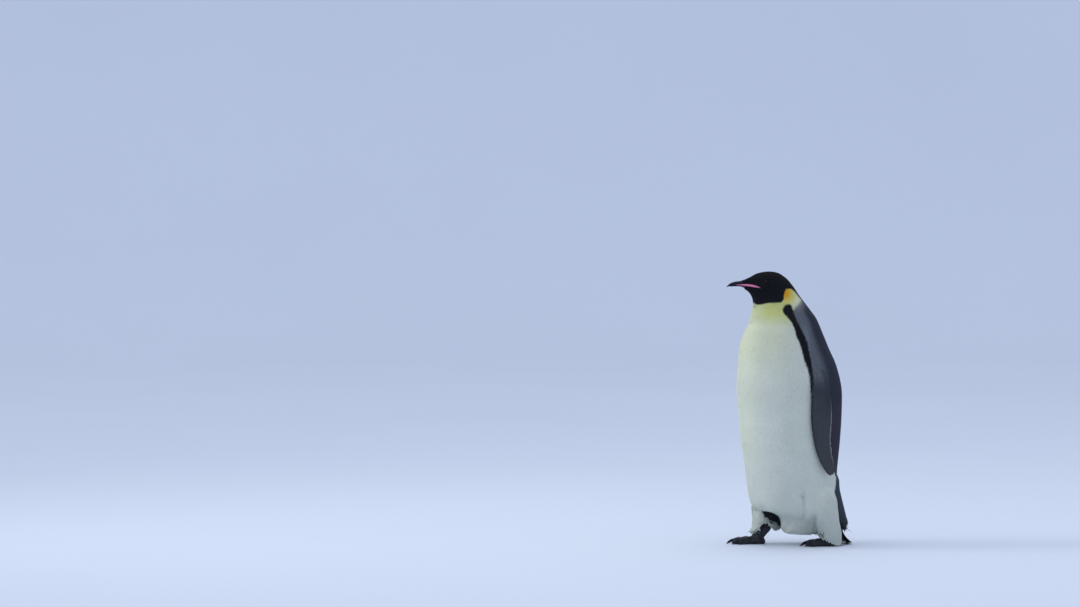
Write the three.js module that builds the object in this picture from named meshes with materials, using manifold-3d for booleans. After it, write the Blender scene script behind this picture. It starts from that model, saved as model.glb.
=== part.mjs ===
// Emperor penguin, a still, life-size model in mid-stride: right foot ahead, left foot behind,
// flippers at its sides. Millimetres, +Z up. It faces -Y, so its left side is +X. The origin is the
// middle of its bounding box, on the floor.
import * as THREE from "three";
import { mergeVertices } from "three/addons/utils/BufferGeometryUtils.js";
import Module from "manifold-3d";

const wasm = await Module();
wasm.setup();

// ---------- driving dimensions ----------
const GAP = 0.3; // clearance between neighbouring pieces
const HEAD_STEP = 0.5; // rows of the head's loft, in stations; other lofts have one row to a station
const BODY_SIDES = 28; // faces round the head, neck and trunk
const LIMB_SIDES = 18; // faces round a thigh, the rump or the tail
const SMALL_SIDES = 10; // faces round a toe or the bill
const CLAW_SIDES = 6;

const HEAD_END = 8.5; // stations at which the head, the neck and the trunk part
const NECK_END = 11.5;
const CUT = 0.03; // width of those two cuts, in stations
const ROOM = 600; // half the width of a space that holds the whole bird
const NO_LENGTH = 1e-6; // a station shorter than this is a point
const SAME_POINT = 1e-4; // corners closer than this are one

const EYE_RADIUS = 9;
const EYE_SIDES = 12;
const EYE_ROWS = 8;
const EYE_CENTRE = [29.2, -97.5, 959]; // left eye; the right one is its mirror

const HIP_HALF_WIDTH = 62; // from the middle plane to the middle of each foot
const LEFT_HEEL = 168; // how far behind the origin the left heel is
const RIGHT_HEEL = -70; // and the right one: the stride is the difference
const LEFT_TOE_OUT = THREE.MathUtils.degToRad(-2);
const RIGHT_TOE_OUT = THREE.MathUtils.degToRad(6);

// ---------- colours ----------
const BLACK = 0x16181f;
const SLATE = 0x3a404a;
const WHITE = 0xd8dcd6;
const CREAM = 0xd3d3a2;
const HIDE = 0x24262c;
const HORN = 0x1b1e26;
const LILAC = 0xb86f98;
const BROWN = 0x1c120c;

// ---------- stations ----------
// A loft's station is one cut through the form: its back and its front point, its half width, and where
// between front (0) and back (1) it is widest. Body stations lie in the middle plane, as (y, z) pairs.
const inMiddle = ([name, back, front, half, widest = 0.5]) => ({
  name,
  back: [0, ...back],
  front: [0, ...front],
  half,
  widest,
});

const BODY = [
  ["feather point", [-178, 953], [-178, 953], 0],
  ["bill base", [-166, 968.5], [-171, 935], 12.5],
  ["lores", [-148, 976.5], [-157, 925], 19],
  ["brow", [-124.8, 988.2], [-146, 914], 26.5],
  ["forehead", [-100, 994.5], [-140.5, 904], 33],
  ["crown", [-72, 996.4], [-137, 896], 38],
  ["ear", [-42, 991], [-136, 888], 42],
  ["occiput", [-12, 972.5], [-135, 880], 45.5],
  ["nape", [13.5, 944], [-136, 869], 50.5],
  ["neck", [38.5, 908], [-139, 855], 60],
  ["collar", [69, 868], [-144, 834], 76],
  ["upper shoulder", [100, 825], [-149, 808], 97],
  ["shoulder", [122.5, 775], [-165, 772], 118],
  ["upper breast", [144.5, 722], [-181.5, 722], 136],
  ["breast", [173.5, 655], [-187, 655], 154],
  ["lower breast", [193, 575], [-191.5, 575], 168.5],
  ["waist", [194, 485], [-183.5, 485], 174],
  ["belly", [188.5, 390], [-175, 390], 169.5],
  ["lower belly", [180, 295], [-161.5, 295], 158],
  ["hip", [175, 215], [-152, 215], 143],
  ["groin", [170, 162], [-141, 162], 131.5],
  ["belly fold", [165, 124], [-119, 141], 122],
  ["under belly", [157, 92], [-78, 128], 107],
  ["crotch", [143, 67], [-37, 107], 86],
  ["under tail", [120, 47], [-19, 58], 58],
  ["vent", [56, 41], [56, 41], 0],
].map(inMiddle);

// The rump's dark coverts and the stiff tail under them, whose tips bend outwards on the floor.
const RUMP = [
  ["root", [150, 310], [150, 310], 0],
  ["upper", [184.5, 262], [90, 250], 56],
  ["middle", [194.5, 205], [82, 195], 64],
  ["lower", [205, 159], [100, 150], 62],
  ["flare", [215, 119], [140, 106], 56],
  ["fringe", [220, 90], [184, 76], 46],
  ["tips", [213, 72], [198, 66], 29],
  ["end", [204, 62], [204, 62], 0],
].map(inMiddle);

const TAIL = [
  ["root", [146, 186], [146, 186], 0],
  ["coverts", [170, 168], [148, 165], 32],
  ["upper", [181, 130], [160, 126], 41],
  ["middle", [188, 92], [171, 86], 46],
  ["lower", [194, 57], [180, 50], 47],
  ["bend", [206, 32], [197, 20], 44],
  ["fan", [221, 16], [215, 4], 37],
  ["tips", [232, 9], [229, -1], 25],
  ["end", [238, 4], [238, 4], 0],
].map(inMiddle);

// A thigh's station: height, fore-and-aft middle and half depth, sideways middle and half width.
// A slope lifts its back above its front, and an arch lifts its two sides.
const thighStation = ([name, z, y, depth, x, half, slope = 0, arch = 0]) => ({
  name,
  back: [x, y + depth, z + slope],
  front: [x, y - depth, z - slope],
  half,
  widest: 0.5,
  arch,
});

const LEFT_THIGH = [
  ["hip", 262, 62, 0, 66, 0],
  ["upper thigh", 236, 65, 64, 68, 50],
  ["thigh", 190, 82, 72, 71, 63],
  ["knee", 142, 98, 65, 72, 60],
  ["shank", 98, 114, 56, 70, 51],
  ["ankle", 60, 129, 50, 68, 44, -2],
  ["cuff", 30, 139, 41, 66, 37, -6],
  ["hem", 13, 150, 29, 65, 28, -7],
  ["end", 18, 151, 0, 65, 0],
].map(thighStation);

const RIGHT_THIGH = [
  ["hip", 252, -6, 0, 66, 0],
  ["upper thigh", 226, -12, 66, 66, 44],
  ["thigh", 184, -28, 76, 69, 57],
  ["knee", 142, -44, 74, 70, 56],
  ["shank", 104, -58, 59, 68, 47, 4],
  ["ankle", 78, -62, 58, 65, 40, 6],
  ["cuff", 54, -67, 57, 63, 34, 6, 14],
  ["end", 68, -67, 0, 62, 0],
].map(thighStation);

// A left flipper's station: its leading and trailing edge, and half its thickness.
const flipperStation = ([name, lead, trail, half]) => ({
  name,
  back: trail,
  front: lead,
  half,
  widest: 0.4,
});

const FLIPPER = [
  ["shoulder", [96, 40, 735], [96, 40, 735], 0],
  ["upper arm", [104, 18, 704], [84, 74, 704], 10],
  ["elbow", [143, 21, 650], [120, 92, 650], 11],
  ["wrist", [172, 31, 600], [144, 103, 600], 9.5],
  ["upper blade", [181, 26.5, 535], [149, 111, 535], 8.5],
  ["blade", [183, 25.5, 465], [151, 112, 465], 7.5],
  ["lower blade", [180, 34, 405], [151, 108, 405], 6.5],
  ["taper", [174, 48, 352], [149, 111.5, 352], 5.8],
  ["tip", [167, 67, 312], [149, 121, 312], 5],
  ["rounding", [161, 84, 285], [150, 124, 287], 4.2],
  ["round end", [158, 95.5, 272], [152, 120, 274], 3],
  ["end", [155, 108, 266], [155, 108, 266], 0],
].map(flipperStation);

// The bill: its ridge, the edge where its halves meet, and its keel, from its base inside the head.
const BILL_UPPER = [
  ["base", [-138, 970], [-138, 948], 13, 0.3],
  ["nostril", [-165, 967], [-165, 950.5], 10.8, 0.3],
  ["ridge", [-185, 962.8], [-185, 949.6], 8, 0.3],
  ["shaft", [-204, 960.5], [-204, 948.6], 6.3, 0.3],
  ["hook", [-220, 955.6], [-220, 946.4], 4.8, 0.35],
  ["point", [-231.5, 947.4], [-230.5, 942], 2.7, 0.4],
  ["end", [-237.5, 939.8], [-237.5, 939.8], 0],
].map(inMiddle);

const BILL_LOWER = [
  ["base", [-138, 949.2], [-138, 932], 12.5, 0.7],
  ["chin", [-165, 952.2], [-165, 936], 10.3, 0.7],
  ["keel", [-185, 951.8], [-185, 942.2], 7.6, 0.7],
  ["shaft", [-204, 951], [-204, 942.8], 6, 0.7],
  ["point", [-219, 948.7], [-219, 942.3], 4.2, 0.6],
  ["end", [-228, 943.4], [-228, 943.4], 0],
].map(inMiddle);

// The coloured plate on each side of the lower bill, from near its point back to the corner of the gape.
const PLATE_LINE = [
  { y: -203, z: 949.2, half: 0.7 },
  { y: -188, z: 948.9, half: 2 },
  { y: -170, z: 948, half: 3.6 },
  { y: -153, z: 946.2, half: 4.3 },
  { y: -138, z: 943.4, half: 3.9 },
  { y: -126, z: 940.4, half: 2.4 },
  { y: -117, z: 937.6, half: 0.6 },
];
const PLATE_THICKNESS = 0.9;
const PLATE_REACH = 60; // how far the plate's outline is drawn out sideways before it is cut to shape

// ---------- foot, in its own frame: the heel at the origin, the toes along +X, its left side +Y ----------
const SOLE_DIP = 2.2; // how far rounded forms reach below the floor before the sole is cut flat
const TOES = [
  { name: "inner", angle: -17, length: 70 },
  { name: "middle", angle: 0, length: 84 },
  { name: "outer", angle: 16, length: 74 },
];
const TOE_ROOT = 36; // where the toes part, ahead of the heel
const TOE_SHAPE = [
  // share of the toe's length, height of its top, half width
  [-0.3, 26, 10],
  [0, 30, 12.5],
  [0.3, 26.5, 10.8],
  [0.5, 27.5, 11.2],
  [0.68, 23.5, 9.6],
  [0.84, 24, 10],
  [0.96, 18.5, 7.6],
];
const TOE_START = { share: -0.42, height: 9 };
const TOE_END = { share: 1.04, height: 5 };
const CLAW_LENGTH = 29;
const CLAW_ROOT = 0.86; // where a claw starts, as a share of its toe's length
const CLAW_COVERED = 5; // how much of its length the toe covers
const CLAW_SHAPE = [
  // share of the claw's reach, height of its top, height of its underside, half width
  [0, 19, 9, 4.2],
  [0.3, 19.8, 9, 4.4],
  [0.55, 16.5, 6, 3.9],
  [0.8, 9.6, 2.2, 2.6],
  [1, 0.9, 0.9, 0],
];
const WEB_THICKNESS = 6;
const WEB_HOLLOW = 15; // how far the web's edge curves in between two toes
const WEB_END = 0.84; // where the web's edge meets a toe, as a share of its length
const WEB_ROOT = 12; // how far the web reaches behind and beside the toes' roots
const HEEL_PAD = [
  // ahead of the heel, height of its top, height of its underside, half width
  [-3, 9, 9, 0],
  [3, 21, -SOLE_DIP, 12],
  [16, 26, -SOLE_DIP, 17],
  [32, 26, -SOLE_DIP, 20],
  [50, 22, -SOLE_DIP, 20],
  [66, 9, 9, 0],
];
const BALL = [37, 17]; // foot of the shank: ahead of the heel and above the floor
const SHANK_SHAPE = [
  // share of the way from the ball to the ankle, half depth, half width
  [1.22, 0, 0],
  [1.12, 13, 12],
  [0.92, 18, 17.5],
  [0.62, 19, 17],
  [0.32, 20, 18.5],
  [0.04, 17.5, 19],
  [-0.16, 0, 0],
];
const HIND_TOE = { at: [24, -17, 13], length: 13, angle: -38 };
const HIND_CLAW_LENGTH = 10;
const LEFT_ANKLE = [28, 70]; // ahead of the heel and above the floor
const RIGHT_ANKLE = [-11, 66];

// ---------- lofts ----------
const mix = (a, b, share) => a + (b - a) * share;

// Catmull-Rom curve through equally spaced values.
function curveThrough(values, t) {
  const last = values.length - 1;
  const i = Math.min(Math.floor(t), last - 1);
  const u = t - i;
  const p1 = values[i];
  const p2 = values[i + 1];
  const p0 = i > 0 ? values[i - 1] : 2 * p1 - p2;
  const p3 = i + 2 <= last ? values[i + 2] : 2 * p2 - p1;
  const slope1 = (p2 - p0) / 2;
  const slope2 = (p3 - p1) / 2;
  return (
    p1 * (2 * u ** 3 - 3 * u ** 2 + 1) +
    slope1 * (u ** 3 - 2 * u ** 2 + u) +
    p2 * (-2 * u ** 3 + 3 * u ** 2) +
    slope2 * (u ** 3 - u ** 2)
  );
}

function stationAt(stations, t) {
  const valueOf = (pick) => curveThrough(stations.map(pick), t);
  const pointOf = (key) => new THREE.Vector3(...[0, 1, 2].map((axis) => valueOf((s) => s[key][axis])));
  return {
    back: pointOf("back"),
    front: pointOf("front"),
    half: Math.max(0, valueOf((s) => s.half)),
    arch: valueOf((s) => s.arch ?? 0),
    widest: valueOf((s) => s.widest),
  };
}

// One closed ring round a station. An ellipse's half lies on each side of the widest line, and grow
// offsets the ring outwards.
function ringAt(stations, t, sides, grow, across) {
  const { back, front, half, widest, arch } = stationAt(stations, t);
  const middle = front.clone().lerp(back, widest);
  const toBack = back.clone().sub(middle);
  const toFront = front.clone().sub(middle);
  const span = back.clone().sub(front);
  if (span.length() < NO_LENGTH) return null;
  const axis = span.normalize();
  const width = across(axis, t);
  toBack.addScaledVector(axis, grow);
  toFront.addScaledVector(axis, -grow);
  const ring = [];
  for (let k = 0; k < sides; k++) {
    const turn = (2 * Math.PI * k) / sides;
    const reach = Math.cos(turn);
    const point = middle.clone().addScaledVector(reach > 0 ? toFront : toBack, Math.abs(reach));
    point.addScaledVector(width, (half + grow) * Math.sin(turn));
    point.z += arch * Math.sin(turn) ** 2;
    ring.push(point);
  }
  return ring;
}

const sideways = () => new THREE.Vector3(1, 0, 0);

function middleOf(ring) {
  const sum = new THREE.Vector3();
  for (const point of ring) sum.add(point);
  return sum.divideScalar(ring.length);
}

// The point that closes a loft's end: its tip pushed outwards by grow, or the middle of its last ring.
function endPoint(tip, ring, grow) {
  const middle = middleOf(ring);
  if (!tip) return middle;
  const outwards = tip.clone().sub(middle).normalize();
  return tip.clone().addScaledVector(outwards, grow);
}

// A closed loft over stations first to last. An end whose station is a point closes on it, and any other
// end is a flat face.
function loft(stations, options) {
  const { first = 0, last = stations.length - 1, sides, grow = 0, step = 1, across = sideways } = options;
  const rows = Math.round((last - first) / step);
  const rings = [];
  const tips = [null, null];
  for (let i = 0; i <= rows; i++) {
    const t = mix(first, last, i / rows);
    const ring = ringAt(stations, t, sides, grow, across);
    if (ring) rings.push(ring);
    else tips[i === 0 ? 0 : 1] = stationAt(stations, t).back;
  }
  const points = [
    ...rings.flat(),
    endPoint(tips[0], rings[0], grow),
    endPoint(tips[1], rings.at(-1), grow),
  ];
  const faces = [];
  for (let i = 0; i + 1 < rings.length; i++) {
    for (let k = 0; k < sides; k++) {
      const next = (k + 1) % sides;
      const near = i * sides;
      const far = near + sides;
      faces.push(near + k, far + k, far + next);
      faces.push(near + k, far + next, near + next);
    }
  }
  const lastRow = (rings.length - 1) * sides;
  for (let k = 0; k < sides; k++) {
    const next = (k + 1) % sides;
    faces.push(points.length - 2, k, next);
    faces.push(points.length - 1, lastRow + next, lastRow + k);
  }
  return solidOf(points, faces);
}

// ---------- solids ----------
// A closed solid from points and triangles, turned outwards if they face in.
function solidOf(points, faces) {
  let volume = 0;
  for (let i = 0; i < faces.length; i += 3) {
    const [a, b, c] = [points[faces[i]], points[faces[i + 1]], points[faces[i + 2]]];
    volume += a.dot(b.clone().cross(c));
  }
  const triangles = Uint32Array.from(faces);
  if (volume < 0) triangles.reverse();
  const vertices = new Float32Array(points.flatMap((p) => p.toArray()));
  const mesh = new wasm.Mesh({ numProp: 3, vertProperties: vertices, triVerts: triangles });
  return new wasm.Manifold(mesh);
}

function solidFromGeometry(geometry) {
  const bare = geometry.clone();
  bare.deleteAttribute("normal");
  bare.deleteAttribute("uv");
  const merged = mergeVertices(bare, SAME_POINT);
  const position = merged.attributes.position;
  const points = [];
  for (let i = 0; i < position.count; i++) {
    points.push(new THREE.Vector3().fromBufferAttribute(position, i));
  }
  return solidOf(points, Array.from(merged.index.array));
}

function box(low, high) {
  const size = high.map((v, i) => v - low[i]);
  const geometry = new THREE.BoxGeometry(...size);
  geometry.translate(...high.map((v, i) => (v + low[i]) / 2));
  return solidFromGeometry(geometry);
}

const union = (solids) => solids.reduce((all, solid) => all.add(solid));
const aboveFloor = (solid) => solid.intersect(box([-ROOM, -ROOM, 0], [ROOM, ROOM, 2 * ROOM]));
const mirrored = (solid) => solid.mirror([1, 0, 0]);

// The same stations on the bird's other side.
const acrossMiddle = ([x, y, z]) => [-x, y, z];
const otherSide = (stations) =>
  stations.map((s) => ({ ...s, back: acrossMiddle(s.back), front: acrossMiddle(s.front) }));

// ---------- head ----------
const headForm = (grow) => loft(BODY, { last: HEAD_END, sides: BODY_SIDES, grow, step: HEAD_STEP });
const billUpper = (grow) => loft(BILL_UPPER, { sides: SMALL_SIDES, grow });
const billLower = (grow) => loft(BILL_LOWER, { sides: SMALL_SIDES, grow });

function eyeBall(side, grow) {
  const geometry = new THREE.SphereGeometry(EYE_RADIUS + grow, EYE_SIDES, EYE_ROWS);
  geometry.translate(side * EYE_CENTRE[0], EYE_CENTRE[1], EYE_CENTRE[2]);
  return solidFromGeometry(geometry);
}

// The plate's outline in (y, z), pushed through sideways as a prism on one side of the bill.
function platePrism(side) {
  const last = PLATE_LINE.length - 1;
  const steps = 2 * last;
  const valueOf = (key, t) => curveThrough(PLATE_LINE.map((p) => p[key]), t);
  const edge = (sign) =>
    Array.from({ length: steps + 1 }, (_, i) => {
      const t = (last * i) / steps;
      return new THREE.Vector2(valueOf("y", t), valueOf("z", t) + sign * valueOf("half", t));
    });
  const shape = new THREE.Shape([...edge(1), ...edge(-1).reverse()]);
  const geometry = new THREE.ExtrudeGeometry(shape, { depth: PLATE_REACH, bevelEnabled: false });
  // The shape's (x, y) become the part's (y, z), and its depth the part's x.
  geometry.applyMatrix4(new THREE.Matrix4().set(0, 0, 1, 0, 1, 0, 0, 0, 0, 1, 0, 0, 0, 0, 0, 1));
  const prism = solidFromGeometry(geometry);
  return side > 0 ? prism : mirrored(prism);
}

function head() {
  const cuts = [billUpper(GAP), billLower(GAP), eyeBall(1, GAP), eyeBall(-1, GAP)];
  return headForm(0).subtract(union(cuts));
}

function billPlate(side) {
  const faceAt = (grow) => union([headForm(grow), billLower(grow), billUpper(grow)]);
  return platePrism(side)
    .intersect(faceAt(GAP + PLATE_THICKNESS))
    .subtract(faceAt(GAP));
}

// ---------- flippers, thighs, rump and tail ----------
// A flipper's thickness stands square to its chord and to its length.
function flipperForm(side, grow) {
  const stations = side > 0 ? FLIPPER : otherSide(FLIPPER);
  const along = (t) => {
    const at = (u) => {
      const s = stationAt(stations, THREE.MathUtils.clamp(u, 0, stations.length - 1));
      return s.back.add(s.front).divideScalar(2);
    };
    return at(t + 0.05).sub(at(t - 0.05)).normalize();
  };
  const across = (chord, t) => chord.clone().cross(along(t)).normalize();
  return loft(stations, { sides: SMALL_SIDES + 2, grow, across });
}

const thighForm = (side, grow) =>
  loft(side > 0 ? LEFT_THIGH : otherSide(RIGHT_THIGH), { sides: LIMB_SIDES, grow });
const rumpForm = (grow) => loft(RUMP, { sides: LIMB_SIDES, grow });
const tailForm = (grow) => aboveFloor(loft(TAIL, { sides: LIMB_SIDES, grow }));

function thigh(side) {
  const neighbours = [footForm(side, GAP), rumpForm(GAP), tailForm(GAP)];
  return thighForm(side, 0).subtract(union(neighbours));
}

function trunk() {
  const whole = loft(BODY, { first: NECK_END + CUT, sides: BODY_SIDES });
  const neighbours = [rumpForm(GAP), tailForm(GAP)];
  for (const side of [1, -1]) {
    neighbours.push(flipperForm(side, GAP), thighForm(side, GAP), footForm(side, GAP));
  }
  return whole.subtract(union(neighbours));
}

// ---------- feet ----------
// A station of a form that runs along the foot: ahead and sideways of the heel, top, bottom, half width.
const footStation = (ahead, aside, top, bottom, half) => ({
  back: [ahead, aside, top],
  front: [ahead, aside, bottom],
  half,
  widest: 0.4,
});

function toe({ angle, length }, grow) {
  const turn = THREE.MathUtils.degToRad(angle);
  const at = (share) => [TOE_ROOT + share * length * Math.cos(turn), share * length * Math.sin(turn)];
  const stations = TOE_SHAPE.map(([share, top, half]) => {
    return footStation(...at(share), top, -SOLE_DIP, half);
  });
  const start = footStation(...at(TOE_START.share), TOE_START.height, TOE_START.height, 0);
  const end = footStation(...at(TOE_END.share), TOE_END.height, TOE_END.height, 0);
  const across = () => new THREE.Vector3(-Math.sin(turn), Math.cos(turn), 0);
  return loft([start, ...stations, end], { sides: SMALL_SIDES, grow, across });
}

// A claw bends down from inside its toe's end to a point on the floor.
function claw({ angle, length }, grow) {
  const turn = THREE.MathUtils.degToRad(angle);
  const root = CLAW_ROOT * length;
  const reach = length + CLAW_LENGTH - CLAW_COVERED - root;
  const at = (share) => {
    const ahead = root + share * reach;
    return [TOE_ROOT + ahead * Math.cos(turn), ahead * Math.sin(turn)];
  };
  const stations = CLAW_SHAPE.map(([share, top, bottom, half]) => {
    return footStation(...at(share), top, bottom, half);
  });
  const across = () => new THREE.Vector3(-Math.sin(turn), Math.cos(turn), 0);
  return loft(stations, { sides: CLAW_SIDES, grow, across });
}

// The small hind toe's line: points at a distance along it, and the direction across it.
function hindLine() {
  const turn = THREE.MathUtils.degToRad(HIND_TOE.angle);
  const [ahead, aside] = HIND_TOE.at;
  const at = (distance) => [ahead + distance * Math.cos(turn), aside + distance * Math.sin(turn)];
  const across = () => new THREE.Vector3(-Math.sin(turn), Math.cos(turn), 0);
  return { at, across };
}

function hindToe(grow) {
  const { at, across } = hindLine();
  const z = HIND_TOE.at[2];
  const stations = [
    footStation(...at(-8), z, z, 0),
    footStation(...at(-3), z + 5.5, z - 5.5, 5),
    footStation(...at(HIND_TOE.length * 0.6), z + 4, z - 5.5, 4.4),
    footStation(...at(HIND_TOE.length), z - 2, z - 2, 0),
  ];
  return loft(stations, { sides: CLAW_SIDES, grow, across });
}

function hindClaw(grow) {
  const { at, across } = hindLine();
  const z = HIND_TOE.at[2];
  const from = HIND_TOE.length - 7;
  const stations = [
    footStation(...at(from), z + 1.6, z - 3, 2.1),
    footStation(...at(from + HIND_CLAW_LENGTH * 0.5), z + 1, z - 3.6, 1.9),
    footStation(...at(from + HIND_CLAW_LENGTH), z - 7, z - 7, 0),
  ];
  return loft(stations, { sides: CLAW_SIDES, grow, across });
}

// Web between the toes: straight at the toes' sides, hollow between their ends.
function web(grow) {
  const tips = TOES.map(({ angle, length }) => {
    const turn = THREE.MathUtils.degToRad(angle);
    const reach = WEB_END * length;
    return new THREE.Vector2(TOE_ROOT + reach * Math.cos(turn), reach * Math.sin(turn));
  });
  const shape = new THREE.Shape();
  shape.moveTo(TOE_ROOT - WEB_ROOT, -WEB_ROOT);
  shape.lineTo(tips[0].x, tips[0].y);
  for (let i = 0; i < 2; i++) {
    const hollow = tips[i].clone().add(tips[i + 1]).divideScalar(2);
    shape.quadraticCurveTo(hollow.x - WEB_HOLLOW, hollow.y, tips[i + 1].x, tips[i + 1].y);
  }
  shape.lineTo(TOE_ROOT - WEB_ROOT, WEB_ROOT);
  const depth = WEB_THICKNESS + grow + 1;
  const geometry = new THREE.ExtrudeGeometry(shape, { depth, bevelEnabled: false, curveSegments: 6 });
  geometry.translate(0, 0, -1);
  return solidFromGeometry(geometry);
}

// The leathery shank leans from the ball of the foot up to the ankle inside the thigh's feathers.
function shank([ankleX, ankleZ], grow) {
  const lean = new THREE.Vector2(ankleX - BALL[0], ankleZ - BALL[1]).normalize();
  const stations = SHANK_SHAPE.map(([share, deep, half]) => {
    const x = mix(BALL[0], ankleX, share);
    const z = mix(BALL[1], ankleZ, share);
    return {
      back: [x - lean.y * deep, 0, z + lean.x * deep],
      front: [x + lean.y * deep, 0, z - lean.x * deep],
      half,
      widest: 0.5,
    };
  });
  return loft(stations, { sides: SMALL_SIDES + 2, grow, across: () => new THREE.Vector3(0, 1, 0) });
}

function heelPad(grow) {
  const stations = HEEL_PAD.map(([ahead, top, bottom, half]) => footStation(ahead, 0, top, bottom, half));
  return loft(stations, { sides: SMALL_SIDES + 2, grow, across: () => new THREE.Vector3(0, 1, 0) });
}

// Moves a solid from the foot's frame to its place under the bird.
function placeFoot(solid, side) {
  const heel = side > 0 ? LEFT_HEEL : RIGHT_HEEL;
  const toeOut = side > 0 ? LEFT_TOE_OUT : RIGHT_TOE_OUT;
  const place = new THREE.Matrix4()
    .makeTranslation(HIP_HALF_WIDTH, heel, 0)
    .multiply(new THREE.Matrix4().makeRotationZ(-Math.PI / 2 + toeOut));
  const left = solid.transform(place.toArray());
  return side > 0 ? left : mirrored(left);
}

function footForm(side, grow) {
  const ankle = side > 0 ? LEFT_ANKLE : RIGHT_ANKLE;
  const toes = TOES.map((t) => toe(t, grow));
  const parts = [...toes, web(grow), shank(ankle, grow), heelPad(grow), hindToe(grow)];
  return placeFoot(aboveFloor(union(parts)), side);
}

const clawForm = (t, side, grow) => placeFoot(aboveFloor(claw(t, grow)), side);
const hindClawForm = (side, grow) => placeFoot(aboveFloor(hindClaw(grow)), side);

function foot(side) {
  const claws = TOES.map((t) => clawForm(t, side, GAP));
  claws.push(hindClawForm(side, GAP));
  return footForm(side, 0).subtract(union(claws));
}

// ---------- the bird ----------
const finishes = {};
function finish(name, color, roughness) {
  finishes[name] ??= new THREE.MeshStandardMaterial({ name, color, roughness, metalness: 0 });
  return finishes[name];
}

function meshOf(name, solid, material) {
  const { vertProperties, triVerts } = solid.getMesh();
  const geometry = new THREE.BufferGeometry();
  geometry.setAttribute("position", new THREE.BufferAttribute(new Float32Array(vertProperties), 3));
  geometry.setIndex(new THREE.BufferAttribute(new Uint32Array(triVerts), 1));
  geometry.computeVertexNormals();
  const mesh = new THREE.Mesh(geometry, material);
  mesh.name = name;
  return mesh;
}

const white = finish("white_plumage", WHITE, 0.85);
const cream = finish("cream_plumage", CREAM, 0.85);
const black = finish("black_plumage", BLACK, 0.8);
const slate = finish("slate_plumage", SLATE, 0.75);
const hide = finish("foot_hide", HIDE, 0.6);
const horn = finish("horn", HORN, 0.35);
const lilac = finish("bill_plate", LILAC, 0.35);
const eye = finish("eye", BROWN, 0.08);

const neck = loft(BODY, { first: HEAD_END + CUT, last: NECK_END, sides: BODY_SIDES });

const penguin = new THREE.Group();
penguin.add(
  meshOf("head", head(), black),
  meshOf("neck", neck, cream),
  meshOf("trunk", trunk(), white),
  meshOf("rump", rumpForm(0).subtract(tailForm(GAP)), slate),
  meshOf("tail", tailForm(0), slate),
  meshOf("bill_upper", billUpper(0), horn),
  meshOf("bill_lower", billLower(0).subtract(billUpper(GAP)), horn),
);
for (const [side, word] of [
  [1, "left"],
  [-1, "right"],
]) {
  penguin.add(
    meshOf(`bill_plate_${word}`, billPlate(side), lilac),
    meshOf(`eye_${word}`, eyeBall(side, 0), eye),
    meshOf(`flipper_${word}`, flipperForm(side, 0), slate),
    meshOf(`thigh_${word}`, thigh(side), white),
    meshOf(`foot_${word}`, foot(side), hide),
    meshOf(`hind_claw_${word}`, hindClawForm(side, 0), horn),
  );
  for (const t of TOES) penguin.add(meshOf(`${t.name}_claw_${word}`, clawForm(t, side, 0), horn));
}

export default penguin;
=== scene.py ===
"""Emperor penguin: skin, feather coat, bill, eyes, feet, claws and tail over the frame of the solid part."""

import math

import bpy
import numpy as np
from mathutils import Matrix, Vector


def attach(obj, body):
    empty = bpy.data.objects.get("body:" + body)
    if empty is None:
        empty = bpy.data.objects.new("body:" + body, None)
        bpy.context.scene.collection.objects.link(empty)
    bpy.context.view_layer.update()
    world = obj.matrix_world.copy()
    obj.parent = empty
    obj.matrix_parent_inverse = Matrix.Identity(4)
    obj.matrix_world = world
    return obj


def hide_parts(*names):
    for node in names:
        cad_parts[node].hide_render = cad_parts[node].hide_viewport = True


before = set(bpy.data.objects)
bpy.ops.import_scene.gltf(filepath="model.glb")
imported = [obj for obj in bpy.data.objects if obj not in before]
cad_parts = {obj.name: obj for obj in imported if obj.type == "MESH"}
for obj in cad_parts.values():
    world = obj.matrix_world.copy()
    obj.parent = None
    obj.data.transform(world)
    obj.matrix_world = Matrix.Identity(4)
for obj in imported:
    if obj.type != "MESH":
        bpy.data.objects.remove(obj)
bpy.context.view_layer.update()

bl_info = {
    "name": "Emperor Penguin",
    "version": (1, 0, 0),
    "blender": (4, 5, 0),
    "location": "3D View > Sidebar > Penguin",
    "description": "Builds the skin, coat and finishes of a life-size emperor penguin",
    "category": "Object",
}

MM = 0.001
SIDES = {"left": 1.0, "right": -1.0}
MOST_FACES = 200000
# Mean of a linear colour under which plumage counts as dark, and over which it counts as pale.
DARK = 0.12
PALE = 0.2
# Linear colours of the pale shoulder, and of the white painted as shade low on the belly, in the flank's
# creases and inside the legs.
ASH = np.array([0.22, 0.24, 0.25])
SHADED = np.array([0.30, 0.34, 0.31])
# The skin's parts in the order they are joined, and the body's forms as the feathers tell them apart.
FLIPPERS, FEET, LIDS = 1, 2, 3
MAIN_FORM, LEFT_FORM, RIGHT_FORM, RUMP_FORM = range(4)
# Where the pieces of the coat meet: along the body by station number, then by height in metres.
HEAD_END = 6.4
NECK_BASE = 0.842
WAIST = 0.55
FLAP_TOP = 0.33
THIGH_TOP = 0.3
# The length and width of the feathers in millimetres, at some of the body's stations.
FEATHER_LENGTH = ([0, 2, 4, 8, 11, 14, 25], [4.5, 5.5, 7.5, 11, 16, 21, 23])
FEATHER_WIDTH = ([0, 2, 4, 8, 11, 14, 25], [2.7, 3.0, 3.5, 4.4, 5.6, 7.6, 8.0])
# How thick the coat is in millimetres, thin on the face and thicker down the body.
BODY_COAT = ([0, 2, 8, 11, 14, 25], [0.9, 1.4, 2.1, 2.8, 3.5, 3.8])
THIGH_COAT = 6.5
RUMP_COAT = 5
FLIPPER_COAT = 1.2

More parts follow.
